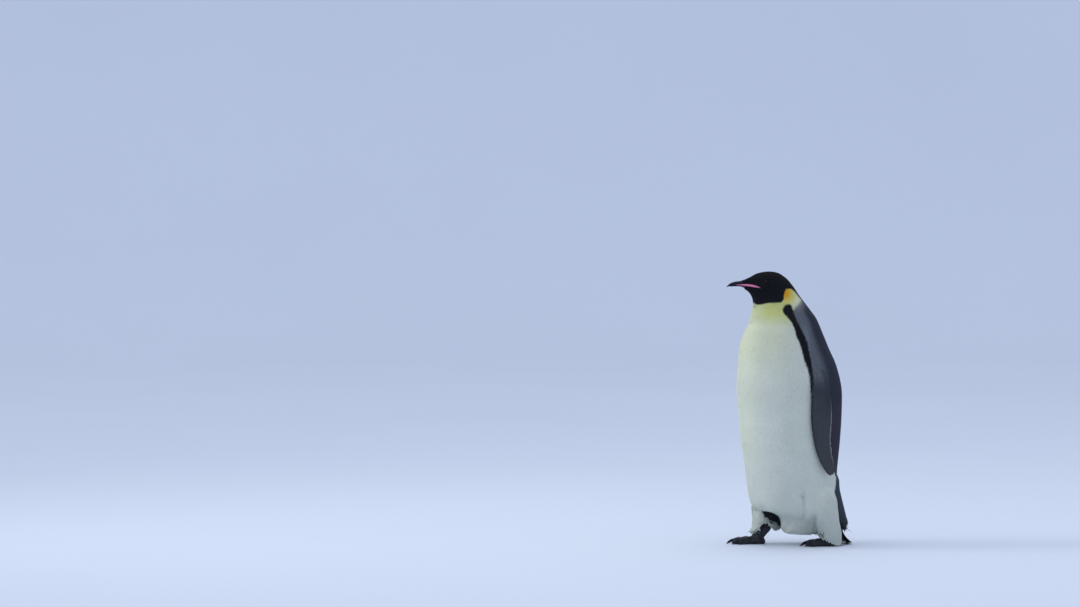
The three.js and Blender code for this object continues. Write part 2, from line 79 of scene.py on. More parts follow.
# ---------- forms, as the solid part has them (millimetres) ----------
# A station is one cut through a form: its back point, its front point and its half width. Some add where
# between front (0) and back (1) it is widest, and how far its sides are lifted.
# Stations in the middle plane give points as (y, z).
BODY = [
    ((-178, 953), (-178, 953), 0),
    ((-166, 968.5), (-171, 935), 12.5),
    ((-148, 976.5), (-157, 925), 19),
    ((-124.8, 988.2), (-146, 914), 26.5),
    ((-100, 994.5), (-140.5, 904), 33),
    ((-72, 996.4), (-137, 896), 38),
    ((-42, 991), (-136, 888), 42),
    ((-12, 972.5), (-135, 880), 45.5),
    ((13.5, 944), (-136, 869), 50.5),
    ((38.5, 908), (-139, 855), 60),
    ((69, 868), (-144, 834), 76),
    ((100, 825), (-149, 808), 97),
    ((122.5, 775), (-165, 772), 118),
    ((144.5, 722), (-181.5, 722), 136),
    ((173.5, 655), (-187, 655), 154),
    ((193, 575), (-191.5, 575), 168.5),
    ((194, 485), (-183.5, 485), 174),
    ((188.5, 390), (-175, 390), 169.5),
    ((180, 295), (-161.5, 295), 158),
    ((175, 215), (-152, 215), 143),
    ((170, 162), (-141, 162), 131.5),
    ((165, 124), (-119, 141), 122),
    ((157, 92), (-78, 128), 107),
    ((143, 67), (-37, 107), 86),
    ((120, 47), (-19, 58), 58),
    ((56, 41), (56, 41), 0),
]
RUMP = [
    ((150, 310), (150, 310), 0),
    ((184.5, 262), (90, 250), 56),
    ((194.5, 205), (82, 195), 64),
    ((205, 159), (100, 150), 62),
    ((215, 119), (140, 106), 56),
    ((220, 90), (184, 76), 46),
    ((213, 72), (198, 66), 29),
    ((204, 62), (204, 62), 0),
]
# A thigh's station: height, fore-and-aft middle and half depth, sideways middle and half width, then how
# far its back is lifted over its front, and its sides.
LEFT_THIGH = [
    (262, 62, 0, 66, 0, 0, 0),
    (236, 65, 64, 68, 50, 0, 0),
    (190, 82, 72, 71, 63, 0, 0),
    (142, 98, 65, 72, 60, 0, 0),
    (98, 114, 56, 70, 51, 0, 0),
    (60, 129, 50, 68, 44, -2, 0),
    (30, 139, 41, 66, 37, -6, 0),
    (13, 150, 29, 65, 28, -7, 0),
    (18, 151, 0, 65, 0, 0, 0),
]
RIGHT_THIGH = [
    (252, -6, 0, 66, 0, 0, 0),
    (226, -12, 66, 66, 44, 0, 0),
    (184, -28, 76, 69, 57, 0, 0),
    (142, -44, 74, 70, 56, 0, 0),
    (104, -58, 59, 68, 47, 4, 0),
    (78, -62, 58, 65, 40, 6, 0),
    (54, -67, 57, 63, 34, 6, 14),
    (68, -67, 0, 62, 0, 0, 0),
]
# A left flipper's station: leading edge, trailing edge, half thickness.
FLIPPER = [
    ((96, 40, 735), (96, 40, 735), 0),
    ((104, 18, 704), (84, 74, 704), 10),
    ((143, 21, 650), (120, 92, 650), 11),
    ((172, 31, 600), (144, 103, 600), 9.5),
    ((181, 26.5, 535), (149, 111, 535), 8.5),
    ((183, 25.5, 465), (151, 112, 465), 7.5),
    ((180, 34, 405), (151, 108, 405), 6.5),
    ((174, 48, 352), (149, 111.5, 352), 5.8),
    ((167, 67, 312), (149, 121, 312), 5),
    ((161, 84, 285), (150, 124, 287), 4.2),
    ((158, 95.5, 272), (152, 120, 274), 3),
    ((155, 108, 266), (155, 108, 266), 0),
]
BILL_UPPER = [
    ((-138, 970), (-138, 948), 13, 0.3),
    ((-165, 967), (-165, 950.5), 10.8, 0.3),
    ((-185, 962.8), (-185, 949.6), 8, 0.3),
    ((-204, 960.5), (-204, 948.6), 6.3, 0.3),
    ((-220, 955.6), (-220, 946.4), 4.8, 0.35),
    ((-231.5, 947.4), (-230.5, 942), 2.7, 0.4),
    ((-237.5, 939.8), (-237.5, 939.8), 0, 0.4),
]
BILL_LOWER = [
    ((-138, 949.2), (-138, 932), 12.5, 0.7),
    ((-165, 952.2), (-165, 936), 10.3, 0.7),
    ((-185, 951.8), (-185, 942.2), 7.6, 0.7),
    ((-204, 951), (-204, 942.8), 6, 0.7),
    ((-219, 948.7), (-219, 942.3), 4.2, 0.6),
    ((-228, 943.4), (-228, 943.4), 0, 0.6),
]
TAIL = [
    ((146, 186), (146, 186), 0),
    ((170, 168), (148, 165), 32),
    ((181, 130), (160, 126), 41),
    ((188, 92), (171, 86), 46),
    ((194, 57), (180, 50), 47),
    ((206, 32), (197, 20), 44),
    ((221, 16), (215, 4), 37),
    ((232, 9), (229, -1), 25),
    ((238, 4), (238, 4), 0),
]
# The bill plate along its line: y, height and half height.
PLATE = [
    (-203, 949.2, 0.7),
    (-188, 948.9, 2),
    (-170, 948, 3.6),
    (-153, 946.2, 4.3),
    (-138, 943.4, 3.9),
    (-126, 940.4, 2.4),
    (-117, 937.6, 0.6),
]
EYE_CENTRE = (29.2, -97.5, 959.0)
EYE_RADIUS = 9.0
EYE_AHEAD = math.radians(14)

# Feet, in their own frame: heel at the origin, toes along +X.
TOE_ROOT = 36.0
# Each toe's angle in degrees and its length.
TOES = {"inner": (-17.0, 70.0), "middle": (0.0, 84.0), "outer": (16.0, 74.0)}
# Share of the length or, for the pad and the hind toe, the distance; then top, bottom and half width.
TOE_SHAPE = [
    (-0.42, 9, 9, 0),
    (-0.3, 26, -2.2, 10),
    (0, 30, -2.2, 12.5),
    (0.3, 26.5, -2.2, 10.8),
    (0.5, 27.5, -2.2, 11.2),
    (0.68, 23.5, -2.2, 9.6),
    (0.84, 24, -2.2, 10),
    (0.96, 18.5, -2.2, 7.6),
    (1.04, 5, 5, 0),
]
CLAW_SHAPE = [
    (0, 19, 9, 4.2),
    (0.3, 19.8, 9, 4.4),
    (0.55, 16.5, 6, 3.9),
    (0.8, 9.6, 2.2, 2.6),
    (1, 0.9, 0.9, 0),
]
CLAW_LENGTH = 29.0
HIND_ANGLE = -38.0
HIND_AT = (24.0, -17.0)
PAD_SHAPE = [
    (-3, 9, 9, 0), (3, 21, -2.2, 12), (16, 26, -2.2, 17), (32, 26, -2.2, 20), (50, 22, -2.2, 20),
    (66, 9, 9, 0),
]
HIND_SHAPE = [(-8, 13, 13, 0), (-3, 18.5, 7.5, 5), (7.8, 17, 7.5, 4.4), (13, 11, 11, 0)]
HIND_CLAW_SHAPE = [(6, 12.3, 12.3, 0), (6.4, 14.6, 10, 2.1), (11, 14, 9.4, 1.9), (16, 6, 6, 0)]
# The lower leg, from the ball of the foot to the ankle: share of the way, half depth and half width.
BALL = (37.0, 17.0)
SHANK_SHAPE = [
    (1.22, 0, 0), (1.12, 13, 12), (0.92, 18, 17.5), (0.62, 19, 17), (0.32, 20, 18.5), (0.04, 17.5, 19),
    (-0.16, 0, 0),
]
# Where each heel is, how far the toes turn out in degrees, and the ankle ahead of the heel and above it.
FOOT_PLACE = {"left": (168.0, -2.0, (28.0, 70.0)), "right": (-70.0, 6.0, (-11.0, 66.0))}
FOOT_ASIDE = 62.0

# Markings, in millimetres: how far back on a plane turned 18 degrees from the side, and height.
TURN = math.radians(18.0)
HOOD = [
    (-400, 894), (-180, 894), (-150, 893), (-138, 891), (-130, 886), (-122, 879.5), (-112, 875.5),
    (-98, 876.5), (-84, 879.5), (-69, 882), (-50, 882.5), (-30, 883), (-22.5, 887), (-18.5, 897),
    (-16.5, 913), (-13.5, 926), (-7, 933.7), (6, 932.6), (17, 926), (27, 917), (35, 908), (44, 902),
    (60, 898), (120, 898), (400, 898), (400, 1300), (-400, 1300),
]
BAND = [
    (-23, 858), (-19, 870), (-8, 878.5), (4, 878), (11, 869), (15, 856), (20, 842), (27, 824), (35, 806),
    (43, 790), (51, 775), (58, 762), (64, 745), (69, 728), (74, 700), (80, 673), (85, 645), (88, 615),
    (89, 585), (84, 560), (76, 560), (78, 586), (77.5, 615), (70, 644), (57, 673), (49.5, 703),
    (41.5, 732), (26.5, 761), (20, 790), (7, 819), (-10, 836), (-20, 846),
]
SLATE = [
    (50, 906), (47, 899), (43, 890), (36, 879), (27, 868), (17, 860), (11, 845), (8, 817), (20, 801),
    (27, 780), (34, 757), (43, 725), (55, 673), (72, 636), (76, 598), (86, 560), (104, 520), (120, 480),
    (200, 470), (400, 470), (400, 930), (120, 930), (60, 925),
]
# How far the dark back reaches to each side under the flippers, by height.
BACK_STRIP = [
    (40, 76), (80, 72), (110, 69), (167, 70), (200, 64), (222, 58), (245, 60), (262, 84), (285, 100),
    (310, 115), (370, 138), (430, 151), (480, 158), (520, 163), (560, 166),
]
# Heights and half widths of the body's cuts, the highest last.
BODY_HEIGHTS = [(r[0][1] + r[1][1]) / 2 for r in BODY][::-1]
BODY_HALVES = [max(r[2], 20) for r in BODY][::-1]
# Painted shade in the gap between the belly's flap and the inside of the right leg, on the same turned plane
# but without mirroring.
LEG_SHADE = [
    (-95, 117), (-86, 126), (-72, 130), (-48, 128), (-34, 112), (-24, 88), (-17, 60), (-31, 58), (-42, 77),
    (-64, 81), (-84, 92), (-92, 105),
]
# The lower edge of each leg's feathers on the same plane.
HEM_RIGHT = [
    (-200, 33), (-136, 34), (-118, 54), (-97, 74), (-83, 83), (-71, 80), (-60, 65), (-50, 58), (-24, 54),
    (-10, 40),
]
HEM_LEFT = [
    (0, 20), (60, 30), (100, 31), (122, 31), (136, 28), (150, 20), (165, 12), (178, 7), (188, 9), (200, 16),
]
# Creases pressed into the flank: their line on the turned plane, their depth and their width.
CREASES = [
    ([(50, 196), (55, 176), (57, 150), (52, 124), (44, 108)], 7.0, 9.0),
    ([(92, 116), (90, 96), (94, 74), (102, 56)], 6.0, 8.0),
    ([(-20, 66), (10, 92), (44, 100), (80, 96)], 3.0, 12.0),
]
# The stage: the floor's level part and the radius of its sweep, the camera, and the lamps' names, places,
# colours, shares of the power, sizes and spreads in degrees.
FLOOR_RADIUS = 13.0
SWEEP = 9.0
CAMERA_AT = (10.395, -3.378, 1.22)
CAMERA_PITCH = math.radians(1.79)
LAMPS_AIM = (0, 0, 0.5)
LAMPS = (
    ("key", (-1.5, -7.0, 4.0), (1.0, 0.99, 0.9), 0.2, 3.5, 60),
    ("top", (-0.5, 0.5, 8.5), (0.98, 0.98, 0.98), 0.85, 8.0, 180),
)


def srgb(red, green, blue):
    """A colour in 0 to 255 display steps as linear light: the display curve undone."""
    c = np.array([red, green, blue], float) / 255.0
    return tuple(np.where(c <= 0.04045, c / 12.92, ((c + 0.055) / 1.055) ** 2.4))


def colour_property(name, description, rgb):
    return bpy.props.FloatVectorProperty(
        name=name, description=description, default=srgb(*rgb), subtype="COLOR", size=3, min=0, max=1
    )


def length_property(name, description, metres):
    return bpy.props.FloatProperty(
        name=name, description=description, default=metres, subtype="DISTANCE", unit="LENGTH", min=1e-5
    )


class PlumageSettings(bpy.types.PropertyGroup):
    """Sizes and colours of the feathers."""

    skin_grain: length_property("Skin grain", "Spacing of the skin's points on the body", 0.0044)
    head_grain: length_property("Head grain", "Spacing of the feathers on the head and neck", 0.0024)
    white: colour_property("White", "Belly and thighs", (209, 214, 203))
    cream: colour_property("Cream", "Upper breast", (212, 217, 186))
    yellow: colour_property("Yellow", "Throat below the hood", (194, 199, 116))
    orange: colour_property("Orange", "Front of the ear patch", (222, 160, 34))
    lemon: colour_property("Lemon", "Middle of the ear patch", (204, 202, 112))
    black: colour_property("Black", "Hood and shoulder band", (8, 10, 18))
    slate: colour_property("Slate", "Back", (99, 105, 113))
    # Deep slate is the tail's own colour; it is also used as painted shade over the back's middle, at the
    # flippers' roots and between the belly and a leg.
    deep_slate: colour_property("Deep slate", "Middle of the back and tail", (42, 45, 57))
    flipper: colour_property("Flipper", "Outer side of the flippers", (60, 63, 68))
    dusk: colour_property("Dusk", "Brownish back behind the flippers", (52, 46, 60))
    seed: bpy.props.IntProperty(name="Seed", description="Start of the random draws", default=7)


class BareSettings(bpy.types.PropertyGroup):
    """Colours of the bill, eyes and feet."""

    horn: colour_property("Horn", "Bill and claws", (17, 23, 42))
    plate: colour_property("Bill plate", "Plate on the side of the lower bill", (226, 122, 166))
    hide: colour_property("Hide", "Skin of the feet", (40, 42, 48))
    iris: colour_property("Iris", "Ring round the pupil", (44, 26, 16))


class StageSettings(bpy.types.PropertyGroup):
    """Floor, light and camera."""

    floor: colour_property("Floor", "Floor and surroundings", (224, 232, 247))
    key_power: bpy.props.FloatProperty(
        name="Key light", description="Power of the large soft light", default=110.0, unit="POWER"
    )
    sky: bpy.props.FloatProperty(name="Sky", description="Strength of the even light", default=0.86, min=0)
    lens: bpy.props.FloatProperty(name="Lens", description="Camera lens", default=100.0, unit="CAMERA")
    aim: bpy.props.FloatProperty(
        name="Aim",
        description="Turn of the camera away from the bird",
        default=math.radians(4.745),
        subtype="ANGLE",
    )


# ---------- curves and forms ----------
def curve_through(values, t):
    """Catmull-Rom: a cubic between each two values, whose slopes are half the step between neighbours."""
    values = np.asarray(values, float)
    last = len(values) - 1
    padded = np.concatenate([[2 * values[0] - values[1]], values, [2 * values[-1] - values[-2]]])
    i = np.clip(np.floor(t).astype(int), 0, last - 1)
    u = (np.asarray(t, float) - i).reshape((-1,) + (1,) * (values.ndim - 1))
    p0, p1, p2, p3 = padded[i], padded[i + 1], padded[i + 2], padded[i + 3]
    m1, m2 = (p2 - p0) / 2, (p3 - p1) / 2
    h = u * u * (3 - 2 * u)
    return p1 * (1 - h) + p2 * h + m1 * (u**3 - 2 * u**2 + u) + m2 * (u**3 - u**2)


def in_metres(rows):
    """Stations as one array: back xyz, front xyz, half width, widest, arch. Only widest is a share."""
    return np.array(rows, float) * ([MM] * 7 + [1, MM])


def middle_stations(rows):
    return in_metres([[0, *r[0], 0, *r[1], r[2], r[3] if len(r) > 3 else 0.5, 0] for r in rows])


def thigh_stations(rows, side):
    return in_metres([
        [side * x, y + deep, z + lift, side * x, y - deep, z - lift, half, 0.5, arch]
        for z, y, deep, x, half, lift, arch in rows
    ])


def flipper_stations():
    return in_metres([[*trail, *lead, half, 0.4, 0] for lead, trail, half in FLIPPER])


def rings(stations, t, turn, grow=0.0, across=None):
    """Points on rings round the stations: each ring is middle + front-or-back reach times cos(turn) + half
    width times sin(turn), reaching towards the front at turn 0. grow offsets a ring outwards, and never
    eats more than part of it. across is the sideways direction of each ring."""
    s = curve_through(stations, t)
    back, front = s[:, 0:3], s[:, 3:6]
    half, widest, arch = np.maximum(s[:, 6], 0), s[:, 7:8], s[:, 8]
    middle = front + (back - front) * widest
    span = np.linalg.norm(back - front, axis=1)
    axis = (back - front) / np.maximum(span, 1e-9)[:, None]
    grow = np.broadcast_to(grow, half.shape)
    grow = np.maximum(grow, -0.4 * np.minimum(half, span / 2))
    if across is None:
        across = np.tile([1.0, 0.0, 0.0], (len(t), 1))
    reach = np.cos(turn)[None, :, None]
    ahead = (front - middle) - axis * grow[:, None]
    behind = (back - middle) + axis * grow[:, None]
    out = middle[:, None] + np.where(reach > 0, ahead[:, None], behind[:, None]) * np.abs(reach)
    out = out + across[:, None] * ((half + grow)[:, None] * np.sin(turn)[None, :])[:, :, None]
    out[:, :, 2] += arch[:, None] * np.sin(turn)[None, :] ** 2
    return out


def turns(count):
    return np.linspace(0, 2 * np.pi, count, endpoint=False)


def spread(stations, count):
    """Station parameters from the first station to the last, evenly spaced."""
    return np.linspace(0, len(stations) - 1, count)


def unit(vectors):
    return vectors / np.maximum(np.linalg.norm(vectors, axis=-1, keepdims=True), 1e-12)


def between_rings(rows, cols, closed=False):
    """Triangles between neighbouring rings of cols points each; closed joins the last ring to the first."""
    r, c = np.meshgrid(np.arange(rows - 1 + closed), np.arange(cols), indexing="ij")
    n, after = (c + 1) % cols, (r + 1) % rows * cols
    a, b, d, e = r * cols + c, r * cols + n, after + n, after + c
    return np.concatenate([np.stack([a, d, b], -1).reshape(-1, 3), np.stack([a, e, d], -1).reshape(-1, 3)])


def tube(grid):
    """Closed surface over a grid of rings whose first and last rings shrink to points: triangles between
    rings, and a fan to each end's mean."""
    rows, cols = grid.shape[:2]
    body = grid[1:-1].reshape(-1, 3)
    points = np.concatenate([body, grid[:1].mean(1), grid[-1:].mean(1)])
    quads = between_rings(rows - 2, cols)
    k = np.arange(cols)
    first = np.stack([np.full(cols, len(body)), k, (k + 1) % cols], -1)
    base = (rows - 3) * cols
    last = np.stack([np.full(cols, len(body) + 1), base + (k + 1) % cols, base + k], -1)
    return outward(points, np.concatenate([quads, first, last]))


def outward(points, triangles):
    """The same triangles, turned round if the volume they enclose comes out negative."""
    a, b, c = (points[triangles[:, i]] for i in range(3))
    if np.einsum("ij,ij->", a, np.cross(b, c)) < 0:
        triangles = triangles[:, ::-1]
    return points, triangles


def joined(*parts):
    """Several point-and-triangle pairs as one."""
    starts = np.cumsum([0] + [len(points) for points, _ in parts])
    points = np.concatenate([points for points, _ in parts])
    return points, np.concatenate([triangles + start for (_, triangles), start in zip(parts, starts)])


def on_side(part, side):
    """A left part, mirrored when the side is the right one."""
    points, triangles = part
    return part if side > 0 else (points * [-1, 1, 1], triangles[:, ::-1])


def loft(stations, rows, sides, grow):
    """Closed form through all stations; grow is one offset or a function of the station parameter."""
    t = spread(stations, rows)
    return tube(rings(stations, t, turns(sides), grow(t) if callable(grow) else grow))


def flipper_rings(t, turn):
    """Rings of the flipper's skin. Their sideways direction is square to the chord and to the length."""
    stations = flipper_stations()
    last, near = len(stations) - 1, 0.05
    before = curve_through(stations, np.clip(t - near, 0, last))
    after = curve_through(stations, np.clip(t + near, 0, last))
    along = (after[:, 0:3] + after[:, 3:6]) - (before[:, 0:3] + before[:, 3:6])
    here = curve_through(stations, np.clip(t, near, last - near))
    across = unit(np.cross(here[:, 0:3] - here[:, 3:6], along))
    return rings(stations, t, turn, -FLIPPER_COAT * MM, across)


# ---------- meshes ----------
def triangle_mesh(name, points, triangles, material_index=None):
    mesh = bpy.data.meshes.new(name)
    count = len(triangles)
    mesh.vertices.add(len(points))
    mesh.vertices.foreach_set("co", np.ascontiguousarray(points, np.float32).ravel())
    mesh.loops.add(3 * count)
    mesh.loops.foreach_set("vertex_index", np.ascontiguousarray(triangles, np.int32).ravel())
    mesh.polygons.add(count)
    mesh.polygons.foreach_set("loop_start", np.arange(0, 3 * count, 3, dtype=np.int32))
    mesh.polygons.foreach_set("use_smooth", np.ones(count, bool))
    if material_index is not None:
        mesh.polygons.foreach_set("material_index", np.ascontiguousarray(material_index, np.int32))
    mesh.update(calc_edges=True)
    mesh.validate()
    return mesh


def add_object(name, mesh, *materials):
    for m in materials:
        mesh.materials.append(m)
    obj = bpy.data.objects.new(name, mesh)
    bpy.context.scene.collection.objects.link(obj)
    return obj


def add_piece(name, mesh, *materials):
    """An object that belongs to the bird, and so goes with its one body."""
    obj = add_object(name, mesh, *materials)
    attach(obj, "root")
    return obj


def evaluated(obj):
    """Points, triangles and triangles' material slots of an object after its modifiers."""
    made = obj.evaluated_get(bpy.context.evaluated_depsgraph_get())
    mesh = made.to_mesh()
    mesh.calc_loop_triangles()
    out = []
    for items, key, wide, kind in (
        (mesh.vertices, "co", 3, np.float32),
        (mesh.loop_triangles, "vertices", 3, np.int32),
        (mesh.loop_triangles, "material_index", 1, np.int32),
    ):
        values = np.empty(wide * len(items), kind)
        items.foreach_get(key, values)
        out.append(values.reshape(-1, wide))
    made.to_mesh_clear()
    return out[0].astype(float), out[1], out[2][:, 0]


def remeshed(part, grain):
    """The outer surface of overlapping closed forms as one even mesh of a given grain."""
    obj = add_object("shape", triangle_mesh("shape", *part))
    modifier = obj.modifiers.new("even", "REMESH")
    modifier.mode, modifier.voxel_size, modifier.use_smooth_shade = "VOXEL", grain, True
    points, triangles, _ = evaluated(obj)
    bpy.data.meshes.remove(obj.data)
    return points, triangles


def point_normals(points, triangles):
    """Area-weighted mean of the faces round each point."""
    a, b, c = (points[triangles[:, i]] for i in range(3))
    face = np.cross(b - a, c - a)
    sums = [sum(np.bincount(triangles[:, i], face[:, k], len(points)) for i in range(3)) for k in range(3)]
    return unit(np.stack(sums, -1))


def relaxed(points, triangles, weight, rounds):
    """Each point moves towards the mean of its neighbours, by its weight, round after round."""
    edges = np.concatenate([triangles[:, [0, 1]], triangles[:, [1, 2]], triangles[:, [2, 0]]])
    count = np.bincount(edges[:, 0], minlength=len(points)).astype(float)
    points = points.copy()
    for _ in range(rounds):
        for k in range(3):
            mean = np.bincount(edges[:, 0], points[edges[:, 1], k], len(points)) / np.maximum(count, 1)
            points[:, k] += weight * (mean - points[:, k])
    return points


def united(parts):
    """One closed surface from overlapping closed ones; each part's number is kept as its faces' slot."""
    stand_ins = [bpy.data.materials.new(f"slot_{i}") for i in range(len(parts))]
    objects = []
    for i, part in enumerate(parts):
        mesh = triangle_mesh(f"part_{i}", *part, material_index=np.full(len(part[1]), i))
        objects.append(add_object(f"part_{i}", mesh, *stand_ins))
    for other in objects[1:]:
        modifier = objects[0].modifiers.new("join", "BOOLEAN")
        modifier.operation, modifier.solver, modifier.object = "UNION", "MANIFOLD", other
    made = evaluated(objects[0])
    for obj in objects:
        bpy.data.meshes.remove(obj.data)
    for material in stand_ins:
        bpy.data.materials.remove(material)
    return made


def step_between(low, high, x):
    """0 below low, 1 above high, and a smooth S between."""
    u = np.clip((x - low) / (high - low), 0, 1)
    return u * u * (3 - 2 * u)


def blend(a, b, share):
    return a + (b - a) * share[:, None]


def colours_of(settings, names):
    return [np.array(getattr(settings, name)) for name in names.split()]


# ---------- markings ----------
def line_gap(line, u, v):
    """Distance of each (u, v) from the nearest point of a chain of straight pieces."""
    best = np.full(len(u), 1e9)
    for (ax, ay), (bx, by) in zip(line[:-1], line[1:]):
        dx, dy = bx - ax, by - ay
        w = np.clip(((u - ax) * dx + (v - ay) * dy) / (dx * dx + dy * dy), 0, 1)
        best = np.minimum(best, np.hypot(u - ax - w * dx, v - ay - w * dy))
    return best


def inside(outline, u, v):
    """Signed distance from a closed outline, positive within. Its corners are cut twice, with new points
    at a quarter and three quarters of each edge. The sign comes from how many edges a level line from the
    point crosses."""
    line = np.array(outline, float)
    for _ in range(2):
        after = np.roll(line, -1, 0)
        line = np.stack([0.75 * line + 0.25 * after, 0.25 * line + 0.75 * after], 1).reshape(-1, 2)
    ring = [*line, line[0]]
    odd = np.zeros(len(u), bool)
    for (ax, ay), (bx, by) in zip(ring[:-1], ring[1:]):
        if ay != by:
            odd ^= ((ay > v) != (by > v)) & (u < (bx - ax) * (v - ay) / (by - ay) + ax)
    return np.where(odd, 1, -1) * line_gap(ring, u, v)


def turned_plane(points):
    """How far back on the turned plane, unmirrored, and height, both in millimetres."""
    x, y, z = (points / MM).T
    return math.cos(TURN) * y + math.sin(TURN) * x, z


def hem_height(points):
    """Height of the lower edge of the leg feathers at each point, in metres."""
    s, _ = turned_plane(points)
    left, right = (np.interp(s, *np.array(line, float).T) for line in (HEM_LEFT, HEM_RIGHT))
    return np.where(points[:, 0] > 0, left, right) * MM


def bump(u, v, at, size):
    """A bell of height 1 at a place: exp(-(du / width)^2 - (dv / height)^2)."""
    return np.exp(-(((u - at[0]) / size[0]) ** 2) - ((v - at[1]) / size[1]) ** 2)


def body_tone(points, settings, jitter, leg=0):
    """Colour of the plumage at points of the body. Each marking is an outline or a bell on the turned
    plane, the same on both sides; its edge is softened, and ragged by jitter, in millimetres. The dark
    back stops short of a leg."""
    x, y, z = (points / MM).T
    s, _ = turned_plane(np.c_[np.abs(points[:, 0]), points[:, 1:]])
    names = "white cream yellow orange lemon black slate deep_slate dusk"
    white, cream, yellow, orange, lemon, black, slate, deep, dusk = colours_of(settings, names)
    # breast and throat
    out = np.tile(white, (len(points), 1))
    out = blend(out, cream, step_between(560, 790, z) * 0.75 * step_between(60, -60, s))
    # partly the breast's own cream, partly painted light: the front edge, which faces the light, made
    # brighter and warmer down to the belly
    front = step_between(-75, -160, s) * step_between(240, 420, z) * step_between(880, 830, z)
    out = blend(out, cream * 1.2, (0.35 + 0.4 * step_between(600, 760, z)) * front)
    glow = step_between(785, 850, z) * (0.35 + 0.65 * step_between(-135, -70, s))
    out = blend(out, yellow, 0.85 * glow)
    # ear patch: orange in front, lemon, then pale behind and below
    patch = step_between(874, 884, z) * step_between(-24, -14, s)
    out = blend(out, lemon, patch * 0.9)
    out = blend(out, cream, patch * step_between(8, 30, s) * 0.8)
    out = blend(out, white, bump(s, z, (20, 872), (20, 14)) * 0.6)
    out = blend(out, orange, patch * np.clip(1.3 * bump(s, z, (-10, 917), (15, 22)), 0, 1))
    # back: the sides, the strip below the flippers and the nape
    depth = inside(SLATE, s, z) + 1.5 * jitter
    back = np.where(z > 840, step_between(-7, 6, depth), step_between(-4, 5, depth))
    reach = np.interp(z, *np.array(BACK_STRIP, float).T)
    behind = step_between(-3, 3, y - np.interp(z, [60, 300], [150, 30]))
    low = step_between(-4, 4, reach - np.abs(x) + 2 * jitter) * behind * (z < 560) * (1 - leg)
    nape = step_between(34, 20, np.abs(x)) * (y > 0) * step_between(860, 880, z)
    back = np.maximum(np.maximum(back, low), nape)
    # painted shade: the middle of the back, which turns away from the light, darkened from slate to deep
    # slate
    girth = np.interp(z, BODY_HEIGHTS, BODY_HALVES)
    rear = step_between(0.95, 0.72, np.abs(x) / girth)
    tone = blend(np.tile(slate, (len(points), 1)), deep, np.clip(0.05 + 0.95 * rear, 0, 1))
    tone = blend(tone, deep, step_between(660, 560, z))
    side_on = step_between(0.35, 0.75, np.abs(x) / girth)
    tone = blend(tone, dusk, step_between(560, 480, z) * step_between(250, 320, z) * (0.15 + 0.4 * side_on))
    tone = blend(tone, ASH, bump(s, z, (38, 880), (16, 24)) * 0.9 * (1 - nape))
    # painted highlight: a lighter streak down the shoulder where the light falls on it
    tone = tone * (1 + 0.5 * bump(s, z, (62, 752), (18, 55)))[:, None]
    # painted light: the dark feathers made lighter and greener below about 340 mm
    tone = tone * (1 + step_between(340, 230, z)[:, None] * [0.45, 0.7, 0.4])
    out = blend(out, tone, back)
    # band and hood, whose edge is softer behind
    out = blend(out, black, step_between(-2.5, 2.5, inside(BAND, s, z) + jitter))
    hood = inside(HOOD, s, z) + 0.8 * jitter
    rear = step_between(25, 45, s)
    out = blend(out, black, step_between(-2 - 10 * rear, 2 + 6 * rear, hood))
    # not mirrored: painted shade low down, in the creases, on the flap and inside the legs, partly a
    # grey-green stain by the near leg; painted shade between the belly and one leg; and dark flecks at the
    # other's hem
    s, _ = turned_plane(points)
    # painted shade: pale feathers greyed towards the floor, along both creases, on the flap and inside the
    # right leg; by the near leg this is a grey-green stain and painted shade together
    low = step_between(170, 50, z) * 0.3 + 0.35 * bump(s, z, (76, 72), (34, 34)) * (x > 0)
    low += (0.3 * bump(s, z, (55, 180), (8, 30)) + 0.1 * bump(s, z, (0, 170), (55, 60))) * (x > 0)
    low += 0.3 * bump(s, z, (94, 84), (8, 26)) * (x > 0)
    low += 0.8 * bump(s, z, (-50, 72), (20, 16)) * (x < -8) * step_between(-76, -64, x)
    out = np.where(out.mean(1, keepdims=True) > PALE, blend(out, SHADED, low), out)
    # painted shade: the gap between the belly's flap and the inside of the right leg, darkened with deep
    # slate
    shade = inside(LEG_SHADE, s, z) + 0.8 * jitter
    out = blend(out, deep * 0.5, step_between(-3, 3, shade) * (x < -8) * step_between(-72, -60, x))
    fleck = bump(s, z, (122, 40), (22, 20))
    speck = step_between(0.4, 0.6, fleck * (0.5 + 0.5 * jitter)) * (x > 0)
    return blend(out, deep * 0.6, speck * 0.9)


def flipper_tone(turn, t, settings, jitter):
    """Colour of the plumage round the flipper: dark outside, pale inside with a dark margin, and a pale
    fringe along the trailing edge. turn is 0 at the leading edge and half a turn at the trailing one."""
    dark, white, black = colours_of(settings, "flipper white black")
    out = np.tile(dark, (len(turn), 1))
    out = blend(out, black, 0.55 * step_between(0.75, 1.0, np.cos(turn)))
    pale = step_between(0.7, 0.78, np.sin(turn) + 0.015 * jitter) * step_between(10.2, 9.2, t)
    out = blend(out, white, pale)
    edge = np.exp(-(((turn - np.pi * 1.01) / 0.22) ** 2))
    edge = edge * step_between(3.6, 4.6, t) * step_between(8.4, 7.5, t)
    return blend(out, white, 0.9 * edge)


# ---------- feathers ----------
# A feather's points are its root, two rows of left edge, ridge and right edge, and its tip.
VANE_TRIANGLES = np.array([
    (0, 2, 1), (0, 3, 2), (1, 2, 5), (1, 5, 4), (2, 3, 6), (2, 6, 5), (4, 5, 7), (5, 6, 7),
    (0, 1, 3), (1, 4, 3), (3, 4, 6), (4, 7, 6),
])
VANE_MIRRORED = [0, 3, 2, 1, 6, 5, 4, 7]
# Along and across a feather: how much of the tip's colour a point has, and where it lies in the map.
VANE_SHARES = np.array([0, 0.4, 0.4, 0.4, 0.85, 0.85, 0.85, 1.0])
VANE_MAP = np.array([(0, 0), (-1, 0.42), (0, 0.42), (1, 0.42), (-0.82, 0.8), (0, 0.8), (0.82, 0.8), (0, 1)])


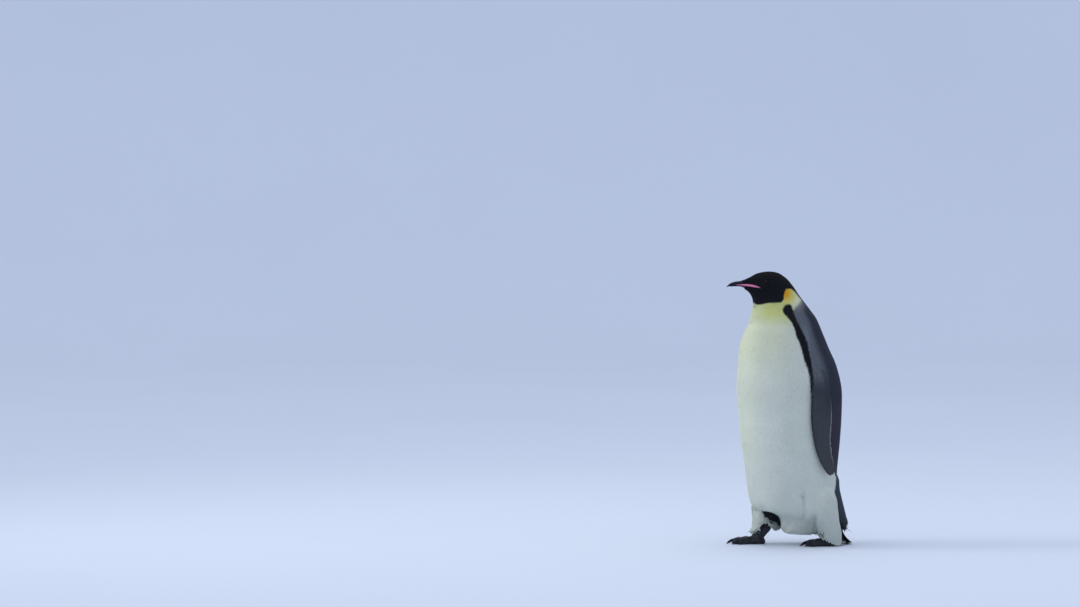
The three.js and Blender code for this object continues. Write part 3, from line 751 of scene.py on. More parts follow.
def vanes(root, lie, normal, length, width, lift, sink, rng, tidy=1.0):
    """Feathers as thin closed blades. Height over the skin rises from -sink at the root to lift near the
    tip, the edges hang a little lower than the ridge, and each feather is turned, tilted and stretched a
    little at random."""
    n = len(root)
    side = np.cross(normal, lie)
    yaw = rng.normal(0, 0.07 * tidy, n)[:, None]
    lie = lie * np.cos(yaw) + side * np.sin(yaw)
    side = np.cross(normal, lie)
    roll = rng.normal(0, 0.05 * tidy, n)[:, None]
    length = (length * (1 + rng.normal(0, 0.07 * tidy, n)))[:, None]
    lift = (lift * (1 + rng.normal(0, 0.07 * tidy, n)))[:, None]
    half = 0.5 * np.broadcast_to(width, n)[:, None]
    camber = 0.16 * half
    rows = [(0.45, 0.5, 1.0), (0.83, 0.88, 0.68)]
    out = np.empty((n, 8, 3))
    out[:, 0] = root - normal * sink
    for k, (share, rise, wide) in enumerate(rows):
        centre = root + lie * length * share + normal * lift * rise
        tilt = normal * half * wide * roll
        out[:, 1 + 3 * k] = centre - side * half * wide - normal * camber - tilt
        out[:, 2 + 3 * k] = centre + normal * camber * 0.6
        out[:, 3 + 3 * k] = centre + side * half * wide - normal * camber + tilt
    out[:, 7] = root + lie * length + normal * lift
    out[:, :, 2] = np.maximum(out[:, :, 2], 0.6 * MM)
    return out


def spine_flow(points, stations):
    """For each point, the nearest place on a form's middle line, and the line's direction there."""
    t = spread(stations, 400)
    s = curve_through(stations, t)
    line = (s[:, 0:3] + s[:, 3:6]) / 2
    course = unit(np.gradient(line, axis=0))
    nearest = np.empty(len(points), int)
    for part in np.array_split(np.arange(len(points)), max(1, len(points) // 4000)):
        gap = points[part][:, None] - line[None]
        off = np.einsum("ijk,ijk->ij", gap, gap)
        slant = np.abs(np.einsum("ijk,jk->ij", gap, course))
        nearest[part] = np.argmin(off + 8 * slant**2, axis=1)
    return t[nearest], course[nearest], line[nearest]


def along_surface(direction, normal):
    """Unit directions with their part along the normal taken away."""
    return unit(direction - normal * np.einsum("ij,ij->i", direction, normal)[:, None])


def coat_mesh(name, blades, tone, tip_tone, place, rng):
    """One coat piece from its blades: points, faces, a colour that runs from root to tip, and a map where
    each blade is a small patch at its root's place on the unwrapped skin."""
    n = len(blades)
    triangles = (VANE_TRIANGLES[None] + 8 * np.arange(n)[:, None, None]).reshape(-1, 3)
    mesh = triangle_mesh(name, blades.reshape(-1, 3), triangles)
    mesh.set_sharp_from_angle(angle=math.radians(60))
    shade = 1 + rng.normal(0, 1, n)[:, None] * np.where(tone.mean(1) < DARK, 0.07, 0.018)[:, None]
    share = VANE_SHARES[None, :, None]
    colour = (tone * shade)[:, None] * (1 - share) + (tip_tone * shade)[:, None] * share
    write_tone(mesh, colour.reshape(-1, 3))
    patch = (VANE_MAP - [0, 0.5]) * [0.0013, 0.003]
    uv = (place[:, None] * 0.99 + 0.005 + patch[None]).reshape(-1, 2)
    layer = mesh.uv_layers.new(name="OFBake")
    layer.data.foreach_set("uv", uv[triangles.ravel()].astype(np.float32).ravel())
    return mesh


def write_tone(mesh, colour):
    layer = mesh.attributes.new("tone", "FLOAT_COLOR", "POINT")
    rgba = np.concatenate([np.clip(colour, 0, 1), np.ones((len(colour), 1))], 1)
    layer.data.foreach_set("color", rgba.astype(np.float32).ravel())


# ---------- shader maths ----------
class Signal:
    """A shader socket, or the start of a material's expressions, with the operators that are used on it."""

    def __init__(self, tree, socket):
        self.tree, self.socket = tree, socket

    def fill(self, node, inputs):
        """A node's inputs by name or, as i0, i1 and so on, by place: each a signal, a number or a colour."""
        for key, value in inputs.items():
            by_place = key[0] == "i" and key[1:].isdigit()
            target = node.inputs[int(key[1:]) if by_place else key.replace("_", " ")]
            if isinstance(value, Signal):
                self.tree.links.new(value.socket, target)
                continue
            if hasattr(target.default_value, "__len__") and not hasattr(value, "__len__"):
                value = [value] * len(target.default_value)
            elif hasattr(value, "__len__") and len(target.default_value) == 4 and len(value) == 3:
                value = (*value, 1)
            target.default_value = value

    def node(self, kind, output=0, settings=None, **inputs):
        made = self.tree.nodes.new(kind)
        for key, value in (settings or {}).items():
            setattr(made, key, value)
        self.fill(made, inputs)
        return Signal(self.tree, made.outputs[output])

    def shade(self, **inputs):
        """Sets the inputs of the material's own shader."""
        self.fill(self.tree.nodes["Principled BSDF"], inputs)

    def maths(self, operation, a, b=0.0):
        return self.node("ShaderNodeMath", settings={"operation": operation}, i0=a, i1=b)

    def __add__(self, other):
        return self.maths("ADD", self, other)

    def __sub__(self, other):
        return self.maths("SUBTRACT", self, other)

    def __rsub__(self, other):
        return self.maths("SUBTRACT", other, self)

    def __mul__(self, other):
        return self.maths("MULTIPLY", self, other)

    def power(self, other):
        return self.maths("POWER", self, other)

    def between(self, low, high):
        settings = {"interpolation_type": "SMOOTHSTEP"}
        return self.node("ShaderNodeMapRange", settings=settings, i0=self, i1=low, i2=high)

    def mixed(self, colour_a, colour_b):
        """Colour a where this value is 0 and colour b where it is 1."""
        return self.node("ShaderNodeMix", 2, {"data_type": "RGBA"}, i0=self, i6=colour_a, i7=colour_b)

    def object_place(self):
        return self.node("ShaderNodeTexCoord", 3)

    def along(self, axis):
        """One coordinate of a place."""
        return self.node("ShaderNodeSeparateXYZ", axis, Vector=self)

    def stretched(self, scale):
        return self.node("ShaderNodeMapping", Vector=self, Scale=scale)

    def noise(self, scale, detail):
        return self.node("ShaderNodeTexNoise", 0, Vector=self, Scale=scale, Detail=detail, Roughness=0.55)


def new_finish(name):
    """A new material, a signal to start expressions from, and the place on the object."""
    material = bpy.data.materials.new(name)
    material.use_nodes = True
    start = Signal(material.node_tree, None)
    return material, start, start.object_place()


def scaled(colour, factor, more=0.0):
    return tuple(min(1, factor * c + more) for c in colour)


def plumage_finish(name, rough, sheen):
    """Feathers: the piece's own colour, mottled finely and broadly."""
    material, start, place = new_finish(name)
    tone = start.node("ShaderNodeAttribute", 0, {"attribute_name": "tone"})
    streak = place.stretched((520, 520, 90)).noise(1.0, 2)
    cloud = place.noise(14.0, 2)
    light = streak * 0.24 + cloud * 0.16 + 0.8
    grey = start.node("ShaderNodeCombineColor", Red=light, Green=light, Blue=light)
    multiply = {"data_type": "RGBA", "blend_type": "MULTIPLY"}
    shown = start.node("ShaderNodeMix", 2, multiply, i0=1.0, i6=tone, i7=grey)
    start.shade(
        Base_Color=shown, Roughness=rough, Specular_IOR_Level=0.14, Sheen_Weight=sheen, Sheen_Roughness=0.5
    )
    return material


def horn_finish(name, colour, grain, rough=0.32):
    """Horn: growth streaks along its length, worn paler patches and a soft gloss."""
    material, start, place = new_finish(name)
    streak = place.stretched(grain).noise(1.0, 4).between(0.35, 0.7)
    patch = place.noise(60.0, 3).between(0.45, 0.8)
    base = streak.mixed(scaled(colour, 0.55), colour)
    start.shade(
        Base_Color=(patch * 0.4).mixed(base, scaled(colour, 1.7, 0.006)),
        Roughness=streak * 0.12 + (rough - 0.04),
        Specular_IOR_Level=0.24,
        Coat_Weight=0.04,
        Coat_Roughness=0.25,
    )
    return material


def hide_finish(settings):
    """Foot hide: small scales with dark creases between and dusty tops."""
    material, start, place = new_finish("foot_hide")
    edge = {"feature": "DISTANCE_TO_EDGE"}
    cells = start.node("ShaderNodeTexVoronoi", "Distance", edge, Vector=place, Scale=300.0)
    crease = cells.between(0.0, 0.22)
    cloud = place.noise(45.0, 4)
    hide = tuple(settings.hide)
    top = cloud.between(0.42, 0.72).mixed(hide, scaled(hide, 1.9, 0.006))
    start.shade(
        Base_Color=crease.mixed(scaled(hide, 0.35), top),
        Roughness=cloud * 0.25 + 0.42,
        Specular_IOR_Level=0.35,
        Normal=start.node("ShaderNodeBump", Strength=0.55, Distance=0.0006, Height=crease),
    )
    return material


def eye_finish(settings):
    """Eye: pupil and streaked iris by the distance from the eye's own axis, under a wet cornea."""
    material, start, place = new_finish("eye_wet")
    x, y, z = (place.along(axis) for axis in range(3))
    ahead = EYE_CENTRE[1] * MM - EYE_RADIUS * MM * math.sin(EYE_AHEAD)
    away = ((y - ahead).power(2.0) + (z - EYE_CENTRE[2] * MM).power(2.0)).power(0.5)
    iris = tuple(settings.iris)
    ring = place.noise(900.0, 3).mixed(scaled(iris, 0.5), scaled(iris, 1.5))
    ring = away.between(0.0042, 0.0056).mixed(ring, scaled(iris, 0.2))
    outward_only = start.maths("ABSOLUTE", x).between(0.02, 0.03)
    pupil = away.between(0.0026, 0.003) * outward_only
    start.shade(
        Base_Color=pupil.mixed((0.002, 0.002, 0.002), ring),
        Roughness=0.06,
        Specular_IOR_Level=0.14,
        Coat_Weight=0.05,
        Coat_Roughness=0.02,
    )
    return material


def plate_finish(colour):
    """Smooth waxy horn: lilac pink, deeper along the lower rim and at both ends."""
    material, start, place = new_finish("bill_plate")
    y, z = place.along(1), place.along(2)
    deep = (colour[0] * 0.55, colour[1] * 0.32, colour[2] * 0.5)
    base = (z + y * 0.13).between(0.9222, 0.9256).mixed(deep, colour)
    ends = 1 - (y.between(-0.206, -0.176) * (1 - y.between(-0.134, -0.116)))
    base = (ends * 0.7).mixed(base, deep)
    mottle = place.stretched((300, 60, 300)).noise(1.0, 4).between(0.4, 0.75)
    pale = (min(1, colour[0] * 1.15), colour[1] * 1.35, min(1, colour[2] * 1.2))
    start.shade(
        Base_Color=(mottle * 0.4).mixed(base, pale), Roughness=0.3, Coat_Weight=0.4, Coat_Roughness=0.15
    )
    return material


def floor_finish(colour):
    """A pale matt floor with faint broad clouds."""
    material, start, place = new_finish("pale_floor")
    cloud = place.noise(0.35, 3).between(0.3, 0.8) * 0.3
    start.shade(Base_Color=cloud.mixed(colour, scaled(colour, 0.93)), Roughness=0.8, Specular_IOR_Level=0.2)
    return material


# ---------- skin ----------
def coat_depth(t):
    """How far the skin lies under the tips of the coat, along the body, as a negative length."""
    return -np.interp(t, *BODY_COAT) * MM


def body_skin(grain):
    """The body, thighs and rump under the coat as one even surface, with the folds between them eased."""
    forms = [
        loft(middle_stations(BODY), 260, 120, coat_depth),
        loft(thigh_stations(LEFT_THIGH, 1), 60, 56, -THIGH_COAT * MM),
        loft(thigh_stations(RIGHT_THIGH, -1), 60, 56, -THIGH_COAT * MM),
        loft(middle_stations(RUMP), 50, 48, -RUMP_COAT * MM),
    ]
    points, triangles = remeshed(joined(*forms), grain)
    z = points[:, 2]
    low = step_between(0.33, 0.24, z)
    soft = 0.25 + 0.45 * low * step_between(0.03, 0.09, z)
    points = relaxed(points, triangles, soft, max(2, int(0.05 / grain)))
    return creased(points, triangles), triangles


def creased(points, triangles):
    """The flank pressed in along its creases, and the legs' flesh ended a little above their hems."""
    normal = point_normals(points, triangles)
    s, z = turned_plane(points)
    flank = step_between(0.0, 0.5, normal[:, 0]) * (points[:, 0] > 0)
    for line, depth, width in CREASES:
        press = depth * MM * np.exp(-((line_gap(line, s, z) / width) ** 2)) * flank
        points = points - normal * press[:, None]
    points[:, 2] = np.maximum(points[:, 2], hem_height(points) + 6 * MM)
    return points


def foot_form(rows, place, angle, sides, count):
    """A loft along a line that leaves the heel's axis by an angle: place gives the point on the line for
    each row's first number."""
    turn = math.radians(angle)
    stations = in_metres([[*place(at), top, *place(at), base, half, 0.4, 0] for at, top, base, half in rows])
    across = np.tile([-math.sin(turn), math.cos(turn), 0.0], (count, 1))
    return tube(rings(stations, spread(rows, count), turns(sides), 0.0, across))


def toe_place(angle, length):
    turn = math.radians(angle)
    return lambda share: (
        TOE_ROOT + share * length * math.cos(turn),
        share * length * math.sin(turn),
    )


def web():
    """Skin between the toes: a plate that thins to its rim. Between two toes' ends the rim is the hollow
    curve (1 - u)^2 a + 2 u (1 - u) h + u^2 b."""
    tips = [np.array(toe_place(*toe)(0.84)) for toe in TOES.values()]
    u = np.linspace(0, 1, 14)[1:, None]
    outline = [[(TOE_ROOT - 12, -12), tips[0]]]
    for last, tip in zip(tips[:-1], tips[1:]):
        hollow = (last + tip) / 2 - [15, 0]
        outline.append((1 - u) ** 2 * last + 2 * u * (1 - u) * hollow + u**2 * tip)
    outline.append([(TOE_ROOT - 12, 12)])
    rim = np.concatenate(outline)
    middle = rim.mean(0)
    levels = [(0, 9), (0.35, 8.5), (0.7, 7), (0.95, 5), (1, 2.5)] + [(k, -1.5) for k in (1, 0.95, 0.5, 0)]
    grid = [np.c_[middle + (rim - middle) * share, np.full(len(rim), height)] for share, height in levels]
    return tube(np.stack(grid) * MM)


def shank(ankle):
    """The leathery lower leg, leaning from the ball of the foot up into the thigh's feathers."""
    way = np.array(ankle) - BALL
    square = unit(np.array([way[1], -way[0]]))
    stations = []
    for share, deep, half in SHANK_SHAPE:
        middle = BALL + way * share
        back, front = middle - square * deep, middle + square * deep
        stations.append([back[0], 0, back[1], front[0], 0, front[1], half, 0.5, 0])
    count = 48
    across = np.tile([0.0, 1.0, 0.0], (count, 1))
    return tube(rings(in_metres(stations), spread(stations, count), turns(32), 0.0, across))


def foot_skin(word):
    """One foot's hide in place under the bird: forms joined evenly, eased, cut level and set with scutes."""
    forms = [foot_form(TOE_SHAPE, toe_place(*toe), toe[0], 28, 60) for toe in TOES.values()]
    forms.append(foot_form(PAD_SHAPE, lambda ahead: (ahead, 0), 0, 32, 50))
    forms.append(foot_form(HIND_SHAPE, hind_place, HIND_ANGLE, 16, 24))
    forms += [web(), shank(FOOT_PLACE[word][2])]
    points, triangles = remeshed(joined(*forms), 1.7 * MM)
    points = relaxed(points, triangles, 0.5, 3)
    return place_foot((scuted(points, triangles), triangles), word)


def hind_place(distance):
    turn = math.radians(HIND_ANGLE)
    return HIND_AT[0] + distance * math.cos(turn), HIND_AT[1] + distance * math.sin(turn)


def scuted(points, triangles):
    """Overlapping scutes across the tops of the toes and the shank: a saw-tooth along the foot that fades
    down the sides, broken by a slower wave across it."""
    normal = point_normals(points, triangles)
    x, y, z = (points / MM).T
    row = (x + 0.35 * z) / 4.6 + 0.12 * np.sin(y * 0.9)
    saw = row - np.floor(row)
    tooth = np.where(saw < 0.82, saw / 0.82, (1 - saw) / 0.18)
    columns = 0.5 + 0.5 * np.cos(2 * np.pi * (y / 5.2 + 0.5 * np.floor(row)))
    top = step_between(0.1, 0.7, normal[:, 2] + 0.35 * normal[:, 0]) * step_between(4, 9, z)
    return points + normal * ((0.75 * tooth + 0.35 * columns - 0.3) * top * MM)[:, None]


def place_foot(part, word):
    """From the foot's frame to its place: turned to face ahead and out, set at the heel, and mirrored.
    Nothing reaches below the floor."""
    points, triangles = part
    heel, toe_out, _ = FOOT_PLACE[word]
    turn = math.radians(toe_out - 90)
    c, s = math.cos(turn), math.sin(turn)
    x = points[:, 0] * c - points[:, 1] * s + FOOT_ASIDE * MM
    y = points[:, 0] * s + points[:, 1] * c + heel * MM
    z = np.maximum(points[:, 2], 0.0)
    return on_side(outward(np.stack([x, y, z], -1), triangles), SIDES[word])


def lid():
    """The rim of bare skin round the eye: a thin ring lying on the eyeball, its opening a little longer than
    high and turned somewhat ahead. Its middle line is (6.3 cos a, 5.1 sin a (1 - 0.14 cos a))."""
    a, b = turns(64), turns(14)
    ring = np.stack([0 * a, 6.3 * np.cos(a), 5.1 * np.sin(a) * (1 - 0.14 * np.cos(a))], -1)
    ring[:, 0] = np.sqrt(EYE_RADIUS**2 - (ring**2).sum(1)) - 0.45
    out = unit(ring)
    flat = along_surface(np.stack([0 * a, np.cos(a), np.sin(a)], -1), out)
    bumpy = (1 + 0.04 * np.sin(23 * a))[:, None, None]
    across = 1.55 * flat[:, None] * np.cos(b)[None, :, None] + 0.95 * out[:, None] * np.sin(b)[None, :, None]
    x, y, z = np.moveaxis(ring[:, None] + bumpy * across, -1, 0)
    c, s = math.cos(EYE_AHEAD), math.sin(EYE_AHEAD)
    points = np.stack([x * c + y * s, y * c - x * s, z], -1) + EYE_CENTRE
    return outward(points.reshape(-1, 3) * MM, between_rings(len(a), len(b), closed=True))


class Build:
    """What the skin's operator leaves for the coat's: the bare body, and the material of feathers."""

    body = None
    plumage = None


class PENGUIN_OT_skin(bpy.types.Operator):
    """One skin over the whole bird, lying inside the coat"""

    bl_idname = "penguin.skin"
    bl_label = "Skin"

    def execute(self, context):
        look = context.scene.penguin_plumage
        Build.body = body_skin(look.skin_grain)
        blade = tube(flipper_rings(spread(FLIPPER, 120), turns(48)))
        flippers, lids = (joined(*(on_side(part, k) for k in SIDES.values())) for part in (blade, lid()))
        feet = joined(*map(foot_skin, SIDES))
        points, triangles, kinds = united([Build.body, flippers, feet, lids])
        if len(points) < len(Build.body[0]) // 2:
            raise RuntimeError("the skin's forms did not join")
        mesh = triangle_mesh("skin", points, triangles, material_index=(kinds == FEET).astype(int))
        jitter = np.random.default_rng(look.seed).normal(0, 0.6, len(points))
        white, flipper, black = colours_of(look, "white flipper black")
        tone = body_tone(points, look, jitter)
        part = np.zeros(len(points), int)
        part[triangles.ravel()] = np.repeat(kinds, 3)
        normal = point_normals(points, triangles)
        outer = (normal[:, 0] * np.sign(points[:, 0]) > -0.2) | (points[:, 2] > 0.6)
        tone = np.where((part == FLIPPERS)[:, None], np.where(outer[:, None], flipper, white), tone)
        tone = np.where((part == LIDS)[:, None], black * 0.7, tone)
        write_tone(mesh, tone)
        Build.plumage = plumage_finish("plumage", 0.75, 0.02)
        skin = add_piece("skin", mesh, Build.plumage, hide_finish(context.scene.penguin_bare))
        flesh_nodes = ["head", "neck", "trunk", "rump"]
        flesh_nodes += [f"{k}_{w}" for k in ("thigh", "flipper", "foot") for w in SIDES]
        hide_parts(*flesh_nodes)
        return {"FINISHED"}


def nearest_form(points):
    """The number of the form that a low point of the body belongs to: the one whose cut at its height it
    lies nearest to the rim of."""
    forms = [
        middle_stations(BODY[12:]),
        thigh_stations(LEFT_THIGH, 1),
        thigh_stations(RIGHT_THIGH, -1),
        middle_stations(RUMP),
    ]
    far = 9.0
    best, gap = np.full(len(points), MAIN_FORM), np.full(len(points), far)
    px, py, pz = points.T
    for i, stations in enumerate(forms):
        s = curve_through(stations, spread(stations, 200))
        middle = (s[:, 0:3] + s[:, 3:6]) / 2
        s = np.c_[middle, np.linalg.norm(s[:, 0:3] - s[:, 3:6], axis=1) / 2, s[:, 6]]
        s = s[np.argsort(middle[:, 2])]
        x, y, depth, half = (np.interp(pz, s[:, 2], s[:, k]) for k in (0, 1, 3, 4))
        ratio = np.hypot((px - x) / np.maximum(half, 1e-4), (py - y) / np.maximum(depth, 1e-4))
        off = np.abs(ratio - 0.95)
        off[(pz < s[0, 2] - 0.03) | (pz > s[-1, 2])] = far
        better = off < gap
        best[better], gap[better] = i, off[better]
    return best


def away_from_face(points):
    """False where a feather would cover an eye, the bill or a bill plate."""
    x, y, z = (points / MM).T
    _, eye_y, eye_z = EYE_CENTRE
    eye = ((y - eye_y + 2.6) / 9.6) ** 2 + ((z - eye_z) / 7.6) ** 2 > 1
    plate = np.array(PLATE, float)
    middle = np.interp(y, plate[:, 0], plate[:, 1])
    half = np.interp(y, plate[:, 0], plate[:, 2], left=-9, right=-9)
    clear = np.abs(z - middle) > half + 1.2
    bill = y > np.where(z > 950, -184 + 1.1 * np.abs(z - 960), -173 + 0.25 * (950 - z))
    return (eye & (clear | (np.abs(x) < 3)) & bill) | (z < 880)


def bill_roots():
    """Root points and normals of the small feathers that run forward over the base of the bill."""
    sets = []
    for rows, first, last in ((BILL_UPPER, 0.9, 2.1), (BILL_LOWER, 0.9, 1.6)):
        stations = middle_stations(rows)
        grid = rings(stations, np.linspace(first, last, 15), turns(34))
        along = np.gradient(grid, axis=0)
        normal = unit(np.cross(np.roll(grid, -1, 1) - np.roll(grid, 1, 1), along))
        outside = np.sign(np.einsum("ijk,ijk->ij", normal, grid - grid.mean(1, keepdims=True)))
        sets.append((grid.reshape(-1, 3), (normal * outside[..., None]).reshape(-1, 3)))
    return tuple(np.concatenate(column) for column in zip(*sets))


def feather_roots(look, rng):
    """Root points and normals of the feathers on the body and bill, and how far apart they stand. Above the
    base of the neck they stand closer, and the two spacings meet at a ragged line."""
    sets = []
    for (points, triangles), above in ((body_skin(look.head_grain), True), (Build.body, False)):
        keep = (points[:, 2] + rng.normal(0, 0.012, len(points)) > NECK_BASE) == above
        normal = unit(relaxed(point_normals(points, triangles), triangles, 0.6, 4))
        sets.append((points[keep], normal[keep]))
    sets.append(bill_roots())
    sizes = (look.head_grain, look.skin_grain, look.head_grain * 0.5)
    grain = np.concatenate([np.full(len(s[0]), size) for s, size in zip(sets, sizes)])
    points, normal = (np.concatenate(column) for column in zip(*sets))
    return points, normal, grain


class PENGUIN_OT_coat(bpy.types.Operator):
    """Feathers of the head, neck, body and thighs, in pieces"""

    bl_idname = "penguin.coat"
    bl_label = "Coat"

    def execute(self, context):
        look = context.scene.penguin_plumage
        rng = np.random.default_rng(look.seed + 1)
        points, normal, grain = feather_roots(look, rng)
        n = len(points)
        t, course, line = spine_flow(points, middle_stations(BODY))
        form = np.where(points[:, 2] < THIGH_TOP, nearest_form(points), MAIN_FORM)
        for i, rows, side in ((LEFT_FORM, LEFT_THIGH, 1), (RIGHT_FORM, RIGHT_THIGH, -1)):
            here = form == i
            course[here] = spine_flow(points[here], thigh_stations(rows[:-1], side))[1]
        lie = along_surface(course, normal)
        shift = rng.uniform(-0.42, 0.42, (n, 2)) * grain[:, None]
        points = points + lie * shift[:, :1] + np.cross(normal, lie) * shift[:, 1:]
        z = points[:, 2]
        # sizes run from the face down the body, with short broad feathers on the throat
        length = np.interp(t, *FEATHER_LENGTH) * MM
        width = np.interp(t, *FEATHER_WIDTH) * MM
        throat = points[:, 1] < -0.06
        length = np.where(throat, np.minimum(length, np.interp(z, [0.80, 0.87], [40, 8.5]) * MM), length)
        width = np.where(throat, np.minimum(width, 0.42 * length), width)
        lift = -coat_depth(t) * 0.96
        tidy = np.interp(t, [0, 8, 14, 25], [0.7, 0.65, 0.5, 0.6])
        # the ends of the thighs and the rump are looser
        thigh = (form == LEFT_FORM) | (form == RIGHT_FORM)
        edge = hem_height(points)
        hem = thigh * step_between(0.055, 0.012, z - edge)
        lift = np.where(thigh, 5.4 * MM, lift)
        fringe = (form == RUMP_FORM) * step_between(0.125, 0.08, z)
        tidy = tidy + 1.6 * hem + 3.0 * fringe
        lift = lift + fringe * rng.uniform(0, 5, n) * MM
        width = width * (1 - 0.35 * fringe)
        down = np.array([0.0, 0.0, -1.0])
        lie = along_surface(lie + down * (0.8 * hem)[:, None], normal)
        length = length * (1 + 0.25 * hem + rng.uniform(0, 0.5, n) * fringe)
        # no feather of a leg hangs below the hem by more than a ragged few millimetres
        least = 5 * MM
        most = (edge + rng.normal(0, 3.0, n) * MM - z) / np.minimum(lie[:, 2], -0.2)
        length = np.where(thigh, np.minimum(length, np.maximum(most, least)), length)
        keep = away_from_face(points) & (~thigh | (most > least))
        jitter = rng.normal(0, 1.0, n)
        tone, tip = (
            body_tone(points + lie * (length * share)[:, None], look, jitter, thigh) for share in (0.6, 0.92)
        )
        dark = tone.mean(1, keepdims=True) < DARK
        tip = np.where(dark, tip * 1.25 + 0.003, tip * 1.02)
        tone = np.where(dark, tone * 0.85, tone * 0.98)
        blades = vanes(points, lie, normal, length, width, lift, 0.8 * MM, rng, tidy)
        angle = np.arctan2(points[:, 0] - line[:, 0], -(points[:, 1] - line[:, 1])) / (2 * np.pi) + 0.5
        front = np.abs(angle - 0.5) < 0.25
        main, head, chest, low = form == MAIN_FORM, t < HEAD_END, z <= NECK_BASE, z <= WAIST
        pieces = {
            "coat_head": main & head,
            "coat_neck": main & ~head & ~chest,
            "coat_breast": main & ~head & chest & ~low & front,
            "coat_back": main & ~head & chest & ~low & ~front,
            "coat_belly": main & low & (z > FLAP_TOP) & front,
            "coat_flap": main & (z <= FLAP_TOP) & front,
            "coat_loin": main & low & ~front,
            "coat_thigh_left": form == LEFT_FORM,
            "coat_thigh_right": form == RIGHT_FORM,
            "coat_rump": form == RUMP_FORM,
        }
        for name, mask in pieces.items():
            mask = mask & keep
            place = np.stack([angle[mask], t[mask]], -1)
            place = (place - place.min(0)) / np.maximum(np.ptp(place, axis=0), 1e-6)
            mesh = coat_mesh(name, blades[mask], tone[mask], tip[mask], place, rng)
            if len(mesh.polygons) >= MOST_FACES:
                raise RuntimeError(f"{name} has {len(mesh.polygons)} faces")
            add_piece(name, mesh, Build.plumage)
        return {"FINISHED"}


class PENGUIN_OT_flipper_coat(bpy.types.Operator):
    """Small scale-like feathers in rows over both flippers"""

    bl_idname = "penguin.flipper_coat"
    bl_label = "Flipper coat"

    def execute(self, context):
        look = context.scene.penguin_plumage
        rng = np.random.default_rng(look.seed + 2)
        last = len(FLIPPER) - 1
        t_fine, turn_fine = np.linspace(1.2, last - 0.02, 1200), turns(360)
        grid = flipper_rings(t_fine, turn_fine)
        index, row, turn = self.rows(grid, turn_fine, rng)
        cols = len(turn_fine)
        column = np.clip((turn / (2 * np.pi) * cols).astype(int), 0, cols - 1)
        i = np.clip(index[row] + rng.integers(-4, 5, len(row)), 1, len(t_fine) - 2)
        t = t_fine[i]
        points = grid[i, column]
        along = grid[i + 1, column] - grid[i - 1, column]
        round_way = grid[i, (column + 1) % cols] - grid[i, (column - 1) % cols]
        normal = unit(np.cross(round_way, along))
        normal *= np.sign(np.einsum("ij,ij->i", normal, points - grid[i].mean(1)))[:, None]
        trail = np.exp(-(((turn - np.pi) / 0.35) ** 2))
        lie = along_surface(unit(along) + np.array([-0.1, 0.5, 0.0]) * trail[:, None], normal)
        jitter = rng.normal(0, 1, len(row))
        black, deep = colours_of(look, "black deep_slate")
        outside = np.sin(turn) < 0.5
        shoulder = body_tone(points, look, jitter)
        shoulder = np.where(shoulder.mean(1, keepdims=True) > PALE, 2 * black, shoulder)
        tone = blend(flipper_tone(turn, t, look, jitter), shoulder, step_between(4.2, 2.6, t) * outside)
        # painted shade: the trailing side of the flipper's root darkened to deep slate, like the back's
        # middle beside it
        rear = step_between(-0.1, -0.8, np.cos(turn)) * step_between(5.2, 3.6, t) * outside
        tone = blend(tone, deep, 0.8 * rear)
        tip = np.where(tone.mean(1, keepdims=True) < DARK, tone * 1.3 + 0.004, tone)
        # the last feathers shorten towards the blade's end
        short = step_between(9.6, 11.4, t)
        length = (7.2 + 2.5 * trail) * step_between(11.4, 9.6, t) * MM + 2.4 * MM * short
        blades = vanes(points, lie, normal, length, 4.6 * MM, 1.15 * MM, 0.4 * MM, rng, 0.6)
        shown = points[:, 0] > 0.0
        place = np.stack([turn / (2 * np.pi), t / last], -1)
        material = plumage_finish("flipper_plumage", 0.55, 0.03)
        for word, side in SIDES.items():
            shape = blades[shown] * [side, 1, 1]
            if side < 0:
                shape = shape[:, VANE_MIRRORED]
            name = f"coat_flipper_{word}"
            add_piece(name, coat_mesh(name, shape, tone[shown], tip[shown], place[shown], rng), material)
        return {"FINISHED"}

    def rows(self, grid, turn_fine, rng):
        """Feathers in rows 4 mm apart down the blade and about 3.3 mm apart round it, every second row set
        off by half a space: each row's ring, each feather's row, and its turn round the ring."""
        step = np.linalg.norm(np.diff(grid, axis=0), axis=2).mean(1)
        run = np.concatenate([[0], np.cumsum(step)])
        index = np.clip(np.searchsorted(run, np.arange(0, run[-1], 4.0 * MM)), 1, len(grid) - 2)
        ring = grid[index]
        round_step = np.linalg.norm(np.roll(ring, -1, 1) - ring, axis=2)
        girth = round_step.sum(1)
        count = np.maximum(6, (girth / (3.3 * MM)).astype(int))
        row = np.repeat(np.arange(len(index)), count)
        number = np.arange(len(row)) - np.repeat(np.cumsum(count) - count, count)
        share = (number + 0.5 * (row % 2) + rng.uniform(-0.2, 0.2, len(row))) / count[row] % 1.0
        # every row's shares are looked up in one table, each row's set 2 above the last one's
        reached = np.concatenate([np.zeros((len(index), 1)), np.cumsum(round_step, 1)], 1) / girth[:, None]
        reached = (reached + 2.0 * np.arange(len(index))[:, None]).ravel()
        edges = np.tile(np.append(turn_fine, 2 * np.pi), len(index))
        return index, row, np.interp(share + 2.0 * row, reached, edges)


